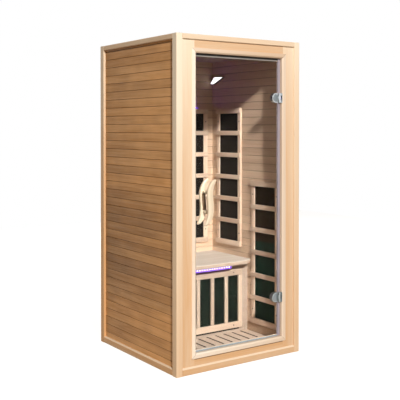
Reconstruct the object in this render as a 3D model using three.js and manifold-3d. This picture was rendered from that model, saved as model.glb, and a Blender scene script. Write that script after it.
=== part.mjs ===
// Infrared sauna cabin for one person, in millimetres, +Z up.
// The origin is on the ground at the middle of the footprint, and the door faces -Y.

import * as THREE from 'three';
import { mergeVertices } from 'three/addons/utils/BufferGeometryUtils.js';
import Module from 'manifold-3d';

const wasm = await Module();
wasm.setup();

// Driving dimensions: shell
const WIDTH = 900;
const DEPTH = 900;
const HEIGHT = 1900;
const FIT = 0.3; // gap between pieces that touch
const POST_WIDTH = 40; // corner post, seen from the front
const POST_ROUND = 6;
const POST_EASE = 2; // on the post's two inner show edges
const RAIL_CHAMFER = 3;
const BOTTOM_RAIL_BEVEL = 7; // on the upper show edge of the bottom rails
const WALL_RECESS = 14; // the outer boards lie behind the posts and rails
const CLADDING = 21; // outer boards with the wall's frame behind them
const LINING = 10;
const SIDE_BOTTOM_RAIL = 40;
const FRONT_BOTTOM_RAIL = 43;
const TOP_RAIL = 30;
const BASE_THICKNESS = 22;
const ROOF_THICKNESS = 28;
const ROOF_DROP = 38; // the roof lies below the rim of the top rails
const OUTER_BOARD = 51;
const OUTER_FIRST_JOINT = 73;
const INNER_BOARD = 50;
const INNER_FIRST_JOINT = 97;
const JOINT_WIDTH = 4;
const JOINT_DEPTH = 3;
const NARROWEST = 0.125; // the least share of a board that is left beside an edge

// Driving dimensions: front and door casing
const PANEL_RECESS = 10; // the front panel lies behind the posts
const STILE_WIDTH = 94; // from post to door opening
const HEADER_HEIGHT = 73;
const SILL_HEIGHT = 69;
const JAMB = 9;
const CASING_WIDTH = 28;
const CASING_BEVEL = 8;
const CASING_EDGE = 5; // the casing's outer edge stands proud of the panel
const CASING_CROWN = 7;
const CASING_LIP = 1; // the bevel's inner edge stands proud of the panel
const STOP_WIDTH = 8;

// Driving dimensions: door
const GLASS_THICKNESS = 8;
const GLASS_SETBACK = 25; // from the post's front to the glass
const GLASS_GAP = 4; // round the pane
const SEAL_GAP = 3; // between the pane and the stop
const HINGE_END_OFFSET = 235; // from the pane's end to the hinge
const HINGE_HEIGHT = 58;
const HINGE_SIDE = 14; // pin to the side of the opening
const HINGE_FRONT = 12; // pin to the front of the glass
const KNUCKLE_RADIUS = 7.5;
const CLAMP_KNUCKLE = 25;
const KNUCKLE_GAP = 0.5;
const PIN_RADIUS = 3.5;
const PIN_HEAD = 2;
const LEAF_THICKNESS = 3;
const LEAF_DEPTH = 19;
const CLAMP_LENGTH = 45;
const CLAMP_THICKNESS = 8;
const CLAMP_CLEARANCE = 2.5; // clamp plate to the bracket's knuckles
const STUD_RADIUS = 4;
const STUD_SPACING = 28;

// Driving dimensions: handles
const HANDLE_HEIGHT = 956; // middle of the handle above the ground
const HANDLE_INSET = 86; // from the opening's side
const HANDLE_LENGTH = 260;
const HANDLE_SWEEP = 33; // sideways reach of each end
const HANDLE_WAVE = 14; // strength of the swing back between the ends
const HANDLE_WIDTH = 38;
const HANDLE_DEPTH = 24;
const HANDLE_TIP = 0.52; // width of each end as a share of the middle's
const HANDLE_STANDOFF = 38; // from the glass's middle to the bar's middle
const HANDLE_SOFTNESS = 0.6; // power that rounds the bar's section: 1 is an ellipse
const BOSS_RADIUS = 9;
const BOLT_SPACING = 116;
const BOLT_RADIUS = 3;
const BOLT_HEAD_RADIUS = 5.5;
const BOLT_HEAD = 4;

// Driving dimensions: bench and floor
const FOOT_SPACE = 343; // from the front panel to the seat's nose
const SEAT_TOP = 518;
const SEAT_THICKNESS = 26;
const SEAT_SIDE_GAP = 1;
const SEAT_ROUND = 5;
const SEAT_CORNER_LENGTH = 60;
const SEAT_CORNER_DEPTH = 36;
const KNEE_SETBACK = 70; // from the seat's nose to the board below it
const KNEE_BOARD = 18;
const KNEE_BATTEN = 21; // upright batten in each corner beside the board
const FLOOR_SIDE_GAP = 8;
const FLOOR_SLAT = 14;
const FLOOR_BATTEN = 10;
const FLOOR_BATTEN_WIDTH = 40;
const FLOOR_SLOT = 11;
const FLOOR_SLATS = 12;
const FLOOR_SLOT_LENGTH = 184;
const FLOOR_REAR_BORDER = 8;
const FLOOR_REAR_GAP = 2;

// Driving dimensions: heaters and their guards
const GUARD_THICKNESS = 20;
const GUARD_STILE = 32;
const GUARD_RAIL = 34;
const GUARD_RUNG = 30;
const GUARD_CELLS = 6;
const GUARD_STEP = 9; // the ladder's stiles lie behind its rungs
const HEATER_THICKNESS = 4;
const HEATER_OVERLAP = 14; // the panel runs behind the guard's bars
const GUARD_ABOVE_SEAT = 66;
const GUARD_BELOW_CEILING = 325;
const FRONT_GUARD_BOTTOM = 108;
const FRONT_GUARD_GAP = 90; // to the front panel
const FRONT_GUARD_REACH = 15; // past the seat's nose, beside its cut corner
const REAR_GUARD_FRONT_INSET = 131; // from the seat's nose
const REAR_GUARD_GAP = 68; // to the back wall
const BACK_GUARD_SIDE_GAP = 49;
const BACK_GUARD_MIDDLE_GAP = 184;
const CALF_SIDE_GAP = 57;
const CALF_BOTTOM = 74;
const CALF_TOP_GAP = 34; // to the seat
const CALF_STILE = 30;
const CALF_RAIL = 40;
const CALF_BAR = 24;
const CALF_CELLS = 6;
const CALF_FOOT = 13; // the heating panel's foot shows below its guard

// Driving dimensions: lights, controls and power supply
const SEAT_LED_LENGTH = 456;
const SEAT_LED_DEPTH = 12;
const SEAT_LED_HEIGHT = 18;
const SEAT_LED_SETBACK = 10;
const BACK_LED_LENGTH = 550;
const BACK_LED_DEPTH = 14;
const BACK_LED_HEIGHT = 9;
const LAMP_LENGTH = 146;
const LAMP_HEIGHT = 48;
const LAMP_TOP_LENGTH = 98;
const LAMP_TIP = 34;
const LAMP_SLOPE = 4;
const LAMP_THICKNESS = 20;
const LAMP_ROUND = 3;
const LAMP_DROP = 105; // below the ceiling
const LAMP_CORNER_GAP = 2;
const PANEL_WIDTH = 150;
const PANEL_HEIGHT = 180;
const PANEL_THICKNESS = 14;
const PANEL_ROUND = 10;
const PANEL_ABOVE_GUARD = 77;
const PANEL_FRONT_GAP = 200; // from the front panel to the control panel's middle
const DISPLAY_WIDTH = 112;
const DISPLAY_HEIGHT = 58;
const DISPLAY_DEPTH = 1.5;
const DISPLAY_RISE = 38; // above the panel's middle
const BUTTON_WIDTH = 30;
const BUTTON_HEIGHT = 20;
const BUTTON_ROUND = 5;
const BUTTON_THICKNESS = 8;
const BUTTON_EASE = 1;
const BUTTON_PROUD = 2;
const BUTTON_TRAVEL = 1.2;
const BUTTON_CLEARANCE = 0.4;
const BUTTON_STEP_ACROSS = 50;
const BUTTON_STEP_UP = 34;
const BUTTON_FALL = 36; // middle of the buttons below the panel's middle
const POWER_BOX_WIDTH = 220;
const POWER_BOX_DEPTH = 150;
const POWER_BOX_HEIGHT = 30;
const POWER_BOX_ROUND = 8;
const POWER_BOX_REAR_GAP = 120;
const GLAND_RADIUS = 9;
const GLAND_LENGTH = 16;

// How finely curves are cut into straight steps, and how far solids overlap
const CORNER_STEPS = 6;
const ROUND_STEPS = 12;
const LATHE_STEPS = 24;
const EASE_STEPS = 2;
const HANDLE_RINGS = 24;
const HANDLE_SIDES = 20;
const OVERLAP = 1; // solids that are joined or cut run into each other
const SAME_POINT = 1e-3; // corners closer than this are one

// Places that follow from the driving dimensions
const HALF_WIDTH = WIDTH / 2;
const HALF_DEPTH = DEPTH / 2;
const POST_DEPTH = WALL_RECESS + CLADDING + LINING;
const INNER_X = HALF_WIDTH - POST_DEPTH;
const INNER_Y = HALF_DEPTH - POST_DEPTH;
const BETWEEN_POSTS = HALF_WIDTH - POST_WIDTH;
const CLADDING_X = INNER_X + LINING;
const CLADDING_Y = INNER_Y + LINING;
const RAIL_TOP = HEIGHT - TOP_RAIL;
const ROOF_TOP = HEIGHT - ROOF_DROP;
const CEILING = ROOF_TOP - ROOF_THICKNESS;
const PANEL_Y = -HALF_DEPTH + PANEL_RECESS;

const OPENING_X = BETWEEN_POSTS - STILE_WIDTH;
const OPENING_LOW = FRONT_BOTTOM_RAIL + SILL_HEIGHT;
const OPENING_HIGH = RAIL_TOP - HEADER_HEIGHT;
const GLASS_FRONT = -HALF_DEPTH + GLASS_SETBACK;
const GLASS_BACK = GLASS_FRONT + GLASS_THICKNESS;
const GLASS_MIDDLE = (GLASS_FRONT + GLASS_BACK) / 2;
const GLASS_X = OPENING_X - GLASS_GAP;
const GLASS_LOW = OPENING_LOW + GLASS_GAP;
const GLASS_HIGH = OPENING_HIGH - GLASS_GAP;
const HINGE_X = OPENING_X - HINGE_SIDE;
const HINGE_Y = GLASS_FRONT - HINGE_FRONT;
const HINGE_AXIS = [HINGE_X, HINGE_Y];
const HINGES = {
  upper: GLASS_HIGH - HINGE_END_OFFSET,
  lower: GLASS_LOW + HINGE_END_OFFSET,
};
const CLAMP_RIGHT = HINGE_X - KNUCKLE_RADIUS - CLAMP_CLEARANCE;
const STUD_X = CLAMP_RIGHT - CLAMP_LENGTH / 2;
const HANDLE_X = -OPENING_X + HANDLE_INSET;
const BOLTS = { upper: BOLT_SPACING / HANDLE_LENGTH, lower: -BOLT_SPACING / HANDLE_LENGTH };

const FLOOR_TOP = BASE_THICKNESS + FIT + FLOOR_BATTEN + FLOOR_SLAT;
const NOSE_Y = -INNER_Y + FOOT_SPACE;
const KNEE_Y = NOSE_Y + KNEE_SETBACK;
const SEAT_LOW = SEAT_TOP - SEAT_THICKNESS;
const GUARD_LOW = SEAT_TOP + GUARD_ABOVE_SEAT;
const GUARD_HIGH = CEILING - GUARD_BELOW_CEILING;
const FRONT_GUARD_HIGH = FRONT_GUARD_BOTTOM + GUARD_HIGH - GUARD_LOW;
const FRONT_GUARD = [-INNER_Y + FRONT_GUARD_GAP, NOSE_Y + FRONT_GUARD_REACH];
const REAR_GUARD = [NOSE_Y + REAR_GUARD_FRONT_INSET, INNER_Y - REAR_GUARD_GAP];
const BACK_GUARD = [BACK_GUARD_MIDDLE_GAP / 2, INNER_X - BACK_GUARD_SIDE_GAP];
const CALF_X = INNER_X - CALF_SIDE_GAP;
const LAMP_REAR = INNER_Y - LAMP_CORNER_GAP;
const LAMP_TOP = CEILING - LAMP_DROP;
const PANEL_MIDDLE_Y = -INNER_Y + PANEL_FRONT_GAP;
const PANEL_MIDDLE_Z = FRONT_GUARD_HIGH + PANEL_ABOVE_GUARD + PANEL_HEIGHT / 2;
const PANEL_BACK = -INNER_X + FIT;
const PANEL_FACE = PANEL_BACK + PANEL_THICKNESS;

// Finishes
const FINISHES = {
  trim: { color: 0xf2d2a6, roughness: 0.55, metalness: 0 },
  cladding: { color: 0xb98a5c, roughness: 0.6, metalness: 0 },
  lining: { color: 0xe6c298, roughness: 0.6, metalness: 0 },
  bench: { color: 0xf0d0aa, roughness: 0.55, metalness: 0 },
  handle: { color: 0xf6dcb4, roughness: 0.45, metalness: 0 },
  glass: { color: 0xd9d5d0, roughness: 0.03, metalness: 0, transparent: true, opacity: 0.25 },
  chrome: { color: 0xd5d8dc, roughness: 0.12, metalness: 1 },
  heater: { color: 0x26261f, roughness: 0.5, metalness: 0 },
  led: { color: 0x9a78ff, roughness: 0.4, metalness: 0, emissive: 0x7a55ff },
  lamp: { color: 0xffffff, roughness: 0.35, metalness: 0, emissive: 0xffffff },
  plastic: { color: 0x1e1f21, roughness: 0.4, metalness: 0 },
  button: { color: 0xc9ccd0, roughness: 0.45, metalness: 0 },
};

// Shapes

/** Gives a mesh with a material of its own. */
function piece(name, finish, geometry) {
  const mesh = new THREE.Mesh(geometry, new THREE.MeshStandardMaterial(FINISHES[finish]));
  mesh.name = name;
  return mesh;
}

/** Turns a closed three.js geometry into a solid that can be joined and cut. */
function solid(geometry) {
  const bare = geometry.clone();
  bare.deleteAttribute('normal');
  bare.deleteAttribute('uv');
  const merged = mergeVertices(bare, SAME_POINT);
  const vertProperties = new Float32Array(merged.attributes.position.array);
  const triVerts = new Uint32Array(merged.index.array);
  return new wasm.Manifold(new wasm.Mesh({ numProp: 3, vertProperties, triVerts }));
}

/** Turns a solid back into a three.js geometry. */
function geometryOf(body) {
  const { vertProperties, triVerts } = body.getMesh();
  const geometry = new THREE.BufferGeometry();
  geometry.setAttribute('position', new THREE.BufferAttribute(vertProperties, 3));
  geometry.setIndex(new THREE.BufferAttribute(triVerts, 1));
  geometry.computeVertexNormals();
  return geometry;
}

/** A box between two places on each axis. */
function block([x0, x1], [y0, y1], [z0, z1]) {
  const box = new THREE.BoxGeometry(x1 - x0, y1 - y0, z1 - z0);
  return box.translate((x0 + x1) / 2, (y0 + y1) / 2, (z0 + z1) / 2);
}

/** A closed outline through the points. */
function outline(points) {
  return new THREE.Shape(points.map(([u, v]) => new THREE.Vector2(u, v)));
}

/** A rectangle as an outline, with arcs at its corners where round is given. */
function rectangle([u0, u1], [v0, v1], round = 0) {
  if (round === 0) {
    return outline([[u0, v0], [u1, v0], [u1, v1], [u0, v1]]);
  }
  const shape = new THREE.Shape();
  shape.absarc(u1 - round, v0 + round, round, -Math.PI / 2, 0);
  shape.absarc(u1 - round, v1 - round, round, 0, Math.PI / 2);
  shape.absarc(u0 + round, v1 - round, round, Math.PI / 2, Math.PI);
  shape.absarc(u0 + round, v0 + round, round, Math.PI, Math.PI * 1.5);
  return shape;
}

/** A circle as an outline. */
function circle(u, v, radius) {
  return new THREE.Shape().absarc(u, v, radius, 0, Math.PI * 2);
}

/**
 * Extrudes an outline along an axis between two places on it. The outline lies in (y, z) for the
 * x axis, in (x, z) for the y axis and in (x, y) for the z axis. round eases the two end edges.
 */
function extrude(axis, shape, [from, to], { round = 0, curveSegments = CORNER_STEPS } = {}) {
  const geometry = new THREE.ExtrudeGeometry(shape, {
    depth: to - from - 2 * round,
    bevelEnabled: round > 0,
    bevelThickness: round,
    bevelSize: round,
    bevelOffset: -round,
    bevelSegments: EASE_STEPS,
    curveSegments,
  });
  const x = new THREE.Vector3(1, 0, 0);
  const y = new THREE.Vector3(0, 1, 0);
  const z = new THREE.Vector3(0, 0, 1);
  const turn = new THREE.Matrix4();
  if (axis === 'x') {
    turn.makeBasis(y, z, x).setPosition(from + round, 0, 0);
  } else if (axis === 'y') {
    turn.makeBasis(x, z, y.negate()).setPosition(0, to - round, 0);
  } else {
    turn.setPosition(0, 0, from + round);
  }
  return geometry.applyMatrix4(turn);
}

/** A round solid bar along an axis, with its middle at (u, v). */
function rod(axis, [u, v], radius, range) {
  return solid(extrude(axis, circle(u, v, radius), range, { curveSegments: ROUND_STEPS }));
}

/** A round body about the z axis, from a profile of [radius, height] points. */
function turned(profile) {
  const points = profile.map(([radius, height]) => new THREE.Vector2(radius, height));
  return new THREE.LatheGeometry(points, LATHE_STEPS).rotateX(Math.PI / 2);
}

/** Joins equal rings of points into one closed body with flat ends. */
function loft(rings) {
  const count = rings[0].length;
  const positions = rings.flat(2);
  const middle = (ring) => [0, 1, 2].map((axis) => ring.reduce((sum, p) => sum + p[axis], 0) / count);
  positions.push(...middle(rings[0]), ...middle(rings.at(-1)));
  const firstCap = rings.length * count;
  const last = (rings.length - 1) * count;
  const index = [];
  for (let side = 0; side < count; side += 1) {
    const next = (side + 1) % count;
    index.push(firstCap, next, side);
    index.push(firstCap + 1, last + side, last + next);
    for (let ring = 0; ring < last; ring += count) {
      index.push(ring + side, ring + next, ring + count + next);
      index.push(ring + side, ring + count + next, ring + count + side);
    }
  }
  const geometry = new THREE.BufferGeometry();
  geometry.setAttribute('position', new THREE.Float32BufferAttribute(positions, 3));
  geometry.setIndex(index);
  return geometry;
}

/**
 * Outline of a boarded panel: a slab between two faces with a V joint wherever two boards meet.
 * The joints are cut into the face called show.
 */
function boards(hidden, show, [low, high], firstJoint, pitch) {
  const inward = Math.sign(hidden - show);
  const points = [[hidden, low], [show, low]];
  for (let z = firstJoint; z < high - pitch * NARROWEST; z += pitch) {
    if (z > low + pitch * NARROWEST) {
      points.push([show, z - JOINT_WIDTH / 2]);
      points.push([show + inward * JOINT_DEPTH, z]);
      points.push([show, z + JOINT_WIDTH / 2]);
    }
  }
  points.push([show, high], [hidden, high]);
  return outline(points);
}

/** A closed range between two places, in rising order. */
function span(a, b) {
  return a < b ? [a, b] : [b, a];
}

// Shell: posts, rails, boarded walls, base and roof

/** A corner post with eased show edges, the outermost rounded. sideX and sideY name its corner. */
function post(sideX, sideY) {
  const shape = new THREE.Shape();
  const [x, y] = [sideX * HALF_WIDTH, sideY * HALF_DEPTH];
  const [xIn, yIn] = [sideX * BETWEEN_POSTS, sideY * INNER_Y];
  shape.moveTo(xIn, yIn);
  shape.lineTo(xIn, y - sideY * POST_EASE);
  shape.lineTo(xIn + sideX * POST_EASE, y);
  shape.lineTo(x - sideX * POST_ROUND, y);
  shape.quadraticCurveTo(x, y, x, y - sideY * POST_ROUND);
  shape.lineTo(x, yIn + sideY * POST_EASE);
  shape.lineTo(x - sideX * POST_EASE, yIn);
  return extrude('z', shape, [0, HEIGHT]);
}

/** Section of a rail: a rectangle whose show edges are cut off. bevel is the cut on the upper one. */
function railSection(back, show, [low, high], bevel = RAIL_CHAMFER) {
  const inward = Math.sign(back - show);
  return outline([
    [back, low],
    [show + inward * RAIL_CHAMFER, low],
    [show, low + RAIL_CHAMFER],
    [show, high - bevel],
    [show + inward * bevel, high],
    [back, high],
  ]);
}

/** The rails and boards of one side wall: side is -1 on the left and 1 on the right. */
function sideWall(name, side) {
  const run = [-INNER_Y + FIT, INNER_Y - FIT];
  const [back, show] = [side * INNER_X, side * HALF_WIDTH];
  const bottom = railSection(back, show, [0, SIDE_BOTTOM_RAIL], BOTTOM_RAIL_BEVEL);
  const top = railSection(back, show, [RAIL_TOP, HEIGHT]);
  const outer = boards(
    side * (CLADDING_X + FIT),
    side * (CLADDING_X + CLADDING),
    [SIDE_BOTTOM_RAIL + FIT, RAIL_TOP - FIT],
    OUTER_FIRST_JOINT,
    OUTER_BOARD,
  );
  const inner = boards(
    side * CLADDING_X,
    side * INNER_X,
    [SIDE_BOTTOM_RAIL + FIT, CEILING - FIT],
    INNER_FIRST_JOINT,
    INNER_BOARD,
  );
  return [
    piece(`${name}_bottom_rail`, 'trim', extrude('y', bottom, run)),
    piece(`${name}_top_rail`, 'trim', extrude('y', top, run)),
    piece(`${name}_wall_cladding`, 'cladding', extrude('y', outer, run)),
    piece(`${name}_wall_lining`, 'lining', extrude('y', inner, run)),
  ];
}

/** The boards of the back wall, which stand between the rear posts. */
function backWall() {
  const run = [-BETWEEN_POSTS + FIT, BETWEEN_POSTS - FIT];
  const outer = boards(
    CLADDING_Y + FIT,
    CLADDING_Y + CLADDING,
    [0, HEIGHT],
    OUTER_FIRST_JOINT,
    OUTER_BOARD,
  );
  const inner = boards(CLADDING_Y, INNER_Y, [0, RAIL_TOP], INNER_FIRST_JOINT, INNER_BOARD);
  return [
    piece('back_wall_cladding', 'cladding', extrude('x', outer, run)),
    piece('back_wall_lining', 'lining', extrude('x', inner, run)),
  ];
}

/** The roof, which lies on the side linings, boarded on its underside. */
function roofPanel() {
  const points = [[CLADDING_X, CEILING], [CLADDING_X, ROOF_TOP]];
  points.push([-CLADDING_X, ROOF_TOP], [-CLADDING_X, CEILING]);
  const joints = Math.floor(INNER_X / INNER_BOARD - NARROWEST);
  for (let joint = -joints; joint <= joints; joint += 1) {
    const x = joint * INNER_BOARD;
    points.push([x - JOINT_WIDTH / 2, CEILING]);
    points.push([x, CEILING + JOINT_DEPTH]);
    points.push([x + JOINT_WIDTH / 2, CEILING]);
  }
  return extrude('y', outline(points), [-INNER_Y + FIT, INNER_Y - FIT]);
}

/** Every piece of the shell. */
function shell() {
  const group = new THREE.Group();
  const inside = [-INNER_X + FIT, INNER_X - FIT];
  const deep = [-INNER_Y + FIT, INNER_Y - FIT];
  group.add(piece('base_panel', 'lining', block(inside, deep, [0, BASE_THICKNESS])));
  group.add(piece('roof_panel', 'lining', roofPanel()));
  group.add(piece('front_left_post', 'trim', post(-1, -1)));
  group.add(piece('front_right_post', 'trim', post(1, -1)));
  group.add(piece('rear_left_post', 'trim', post(-1, 1)));
  group.add(piece('rear_right_post', 'trim', post(1, 1)));
  group.add(...sideWall('left', -1), ...sideWall('right', 1), ...backWall());
  return group;
}

// Front: rails, stiles, header, sill and the casing with its door stop

/** The mitred casing: one section carried round the door opening. */
function casing() {
  const seat = PANEL_Y - FIT;
  const stop = GLASS_BACK + SEAL_GAP;
  const section = [
    [JAMB - FIT, -INNER_Y],
    [JAMB - FIT, seat],
    [CASING_WIDTH, seat],
    [CASING_WIDTH, PANEL_Y - CASING_EDGE],
    [CASING_BEVEL, PANEL_Y - CASING_CROWN],
    [0, PANEL_Y - CASING_LIP],
    [0, stop],
    [-STOP_WIDTH, stop],
    [-STOP_WIDTH, -INNER_Y],
  ];
  const corners = [[-1, -1], [1, -1], [1, 1], [-1, 1]];
  const positions = corners.flatMap(([sideX, sideZ]) => section.flatMap(([out, y]) => {
    const z = sideZ < 0 ? OPENING_LOW - out : OPENING_HIGH + out;
    return [sideX * (OPENING_X + out), y, z];
  }));
  const count = section.length;
  const index = [];
  corners.forEach((_, corner) => {
    const here = corner * count;
    const there = ((corner + 1) % corners.length) * count;
    for (let side = 0; side < count; side += 1) {
      const next = (side + 1) % count;
      index.push(here + side, there + next, here + next);
      index.push(here + side, there + side, there + next);
    }
  });
  const geometry = new THREE.BufferGeometry();
  geometry.setAttribute('position', new THREE.Float32BufferAttribute(positions, 3));
  geometry.setIndex(index);
  return geometry;
}

/** Every piece of the front wall except the door. */
function front() {
  const group = new THREE.Group();
  const between = [-BETWEEN_POSTS + FIT, BETWEEN_POSTS - FIT];
  const [back, show] = [-INNER_Y, -HALF_DEPTH];
  const bottom = railSection(back, show, [0, FRONT_BOTTOM_RAIL], BOTTOM_RAIL_BEVEL);
  const top = railSection(back, show, [RAIL_TOP, HEIGHT]);
  group.add(piece('front_bottom_rail', 'trim', extrude('x', bottom, between)));
  group.add(piece('front_top_rail', 'trim', extrude('x', top, between)));

  const thick = [PANEL_Y, -INNER_Y];
  const tall = [FRONT_BOTTOM_RAIL + FIT, RAIL_TOP - FIT];
  for (const [name, side] of [['left', -1], ['right', 1]]) {
    const wide = span(side * (OPENING_X + JAMB), side * (BETWEEN_POSTS - FIT));
    group.add(piece(`front_${name}_stile`, 'trim', block(wide, thick, tall)));
  }
  const wide = [-OPENING_X - JAMB + FIT, OPENING_X + JAMB - FIT];
  const header = block(wide, thick, [OPENING_HIGH + JAMB, RAIL_TOP - FIT]);
  const sill = block(wide, thick, [FRONT_BOTTOM_RAIL + FIT, OPENING_LOW - JAMB]);
  group.add(piece('front_header', 'trim', header));
  group.add(piece('front_sill', 'trim', sill));
  group.add(piece('door_casing', 'trim', casing()));
  return group;
}

// Door: pane, hinges and the pair of handles

/** Middle line of the handle at t, which runs from -1 at its foot to 1 at its top. */
function handlePath(t) {
  const x = HANDLE_X + HANDLE_SWEEP * t ** 3 - HANDLE_WAVE * t * (1 - t ** 2);
  return { x, z: HANDLE_HEIGHT + (t * HANDLE_LENGTH) / 2 };
}

/** The pane, drilled for the hinge studs and the handle bolts. */
function pane() {
  const shape = rectangle([-GLASS_X, GLASS_X], [GLASS_LOW, GLASS_HIGH]);
  for (const z of Object.values(HINGES)) {
    shape.holes.push(circle(STUD_X, z - STUD_SPACING / 2, STUD_RADIUS + FIT));
    shape.holes.push(circle(STUD_X, z + STUD_SPACING / 2, STUD_RADIUS + FIT));
  }
  for (const t of Object.values(BOLTS)) {
    const { x, z } = handlePath(t);
    shape.holes.push(circle(x, z, BOLT_RADIUS + FIT));
  }
  return extrude('y', shape, [GLASS_FRONT, GLASS_BACK]);
}

/** The hole for the hinge pin. */
function pinBore() {
  return rod('z', HINGE_AXIS, PIN_RADIUS + FIT, [-HINGE_HEIGHT, HINGE_HEIGHT]);
}

/** Half-round clamp plate about z = 0. */
function clampPlate(range) {
  const radius = HINGE_HEIGHT / 2;
  const shape = new THREE.Shape();
  shape.moveTo(CLAMP_RIGHT, radius);
  shape.lineTo(CLAMP_RIGHT, -radius);
  shape.absarc(CLAMP_RIGHT - CLAMP_LENGTH + radius, 0, radius, -Math.PI / 2, Math.PI / 2, true);
  return solid(extrude('y', shape, range, { curveSegments: ROUND_STEPS }));
}

/** The clamp that grips the pane and carries the middle knuckle, about z = 0. */
function hingeClamp() {
  const outer = [GLASS_FRONT - FIT - CLAMP_THICKNESS, GLASS_FRONT - FIT];
  const inner = [GLASS_BACK + FIT, GLASS_BACK + FIT + CLAMP_THICKNESS];
  const through = [outer[1] - OVERLAP, inner[0] + OVERLAP];
  const tall = [-CLAMP_KNUCKLE / 2, CLAMP_KNUCKLE / 2];
  const web = block([CLAMP_RIGHT - OVERLAP, HINGE_X], [HINGE_Y - PIN_RADIUS, outer[1]], tall);
  let body = clampPlate(outer).add(clampPlate(inner)).add(solid(web));
  body = body.add(rod('z', HINGE_AXIS, KNUCKLE_RADIUS, tall));
  for (const z of [-STUD_SPACING / 2, STUD_SPACING / 2]) {
    body = body.add(rod('y', [STUD_X, z], STUD_RADIUS, through));
  }
  return geometryOf(body.subtract(pinBore()));
}

/** The jamb bracket: a leaf on the side of the opening and the two outer knuckles, about z = 0. */
function hingeBracket() {
  const half = HINGE_HEIGHT / 2;
  const leafX = [OPENING_X - FIT - LEAF_THICKNESS, OPENING_X - FIT];
  const leafY = [HINGE_Y - LEAF_DEPTH / 2, HINGE_Y + LEAF_DEPTH / 2];
  let body = solid(block(leafX, leafY, [-half, half]));
  for (const side of [-1, 1]) {
    const tall = span(side * (CLAMP_KNUCKLE / 2 + KNUCKLE_GAP), side * half);
    const wide = [HINGE_X, leafX[0] + OVERLAP];
    const web = block(wide, [HINGE_Y - PIN_RADIUS, HINGE_Y + PIN_RADIUS], tall);
    body = body.add(solid(web)).add(rod('z', HINGE_AXIS, KNUCKLE_RADIUS, tall));
  }
  return geometryOf(body.subtract(pinBore()));
}

/** The hinge pin with its domed head, about z = 0. */
function hingePin() {
  const half = HINGE_HEIGHT / 2;
  const head = half + FIT;
  return turned([
    [0, -half],
    [PIN_RADIUS, -half],
    [PIN_RADIUS, head],
    [KNUCKLE_RADIUS, head],
    [PIN_RADIUS, head + PIN_HEAD],
    [0, head + PIN_HEAD],
  ]);
}

/** A point of a rounded rectangle of half sizes a and b, at an angle about its middle. */
function softCorner(a, b, angle) {
  const ease = (value) => Math.sign(value) * Math.abs(value) ** HANDLE_SOFTNESS;
  return [a * ease(Math.cos(angle)), b * ease(Math.sin(angle))];
}

/** One handle: a tapering wave with two bosses. side is -1 outside the door and 1 inside it. */
function handle(side) {
  const bar = GLASS_MIDDLE + side * HANDLE_STANDOFF;
  const rings = Array.from({ length: HANDLE_RINGS + 1 }, (_, ring) => {
    const t = (2 * ring) / HANDLE_RINGS - 1;
    const { x, z } = handlePath(t);
    const taper = Math.sqrt(1 - (1 - HANDLE_TIP ** 2) * t ** 4);
    return Array.from({ length: HANDLE_SIDES }, (__, corner) => {
      const angle = ((corner + 0.5) * 2 * Math.PI) / HANDLE_SIDES;
      const [u, v] = softCorner((HANDLE_WIDTH / 2) * taper, (HANDLE_DEPTH / 2) * taper, angle);
      return [x + u, bar + v, z];
    });
  });
  const glass = side < 0 ? GLASS_FRONT - FIT : GLASS_BACK + FIT;
  const far = bar + side * HANDLE_DEPTH;
  const headSeat = bar + (side * HANDLE_DEPTH) / 2 - side * BOLT_HEAD;
  let body = solid(loft(rings));
  for (const t of Object.values(BOLTS)) {
    const { x, z } = handlePath(t);
    body = body.add(rod('y', [x, z], BOSS_RADIUS, span(glass, bar)));
  }
  for (const t of Object.values(BOLTS)) {
    const { x, z } = handlePath(t);
    const end = side < 0 ? bar : far;
    body = body.subtract(rod('y', [x, z], BOLT_RADIUS + FIT, span(glass - side * OVERLAP, end)));
    if (side > 0) {
      body = body.subtract(rod('y', [x, z], BOLT_HEAD_RADIUS + FIT, span(headSeat, far)));
    }
  }
  return geometryOf(body);
}

/** A bolt that joins the handles: along Y, with its head in the inner handle. */
function handleBolt() {
  const tip = GLASS_MIDDLE - HANDLE_STANDOFF + FIT;
  const seat = GLASS_MIDDLE + HANDLE_STANDOFF + HANDLE_DEPTH / 2 - BOLT_HEAD + FIT;
  const headTop = seat + BOLT_HEAD - FIT;
  const bolt = turned([
    [0, -headTop],
    [BOLT_HEAD_RADIUS, -headTop],
    [BOLT_HEAD_RADIUS, -seat],
    [BOLT_RADIUS, -seat],
    [BOLT_RADIUS, -tip],
    [0, -tip],
  ]);
  return bolt.rotateX(Math.PI / 2);
}

/** Every piece of the door, and the fixed half of its hinges. */
function door() {
  const group = new THREE.Group();
  group.add(piece('door_glass', 'glass', pane()));
  for (const [name, z] of Object.entries(HINGES)) {
    const hinge = new THREE.Group();
    hinge.position.z = z;
    hinge.add(piece(`${name}_hinge_bracket`, 'chrome', hingeBracket()));
    hinge.add(piece(`${name}_hinge_clamp`, 'chrome', hingeClamp()));
    const pin = piece(`${name}_hinge_pin`, 'chrome', hingePin());
    pin.position.set(...HINGE_AXIS, 0);
    hinge.add(pin);
    group.add(hinge);
  }
  group.add(piece('outer_handle', 'handle', handle(-1)));
  group.add(piece('inner_handle', 'handle', handle(1)));
  for (const [name, t] of Object.entries(BOLTS)) {
    const { x, z } = handlePath(t);
    const bolt = piece(`${name}_handle_bolt`, 'chrome', handleBolt());
    bolt.position.set(x, 0, z);
    group.add(bolt);
  }
  return group;
}

// Bench and floor

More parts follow.
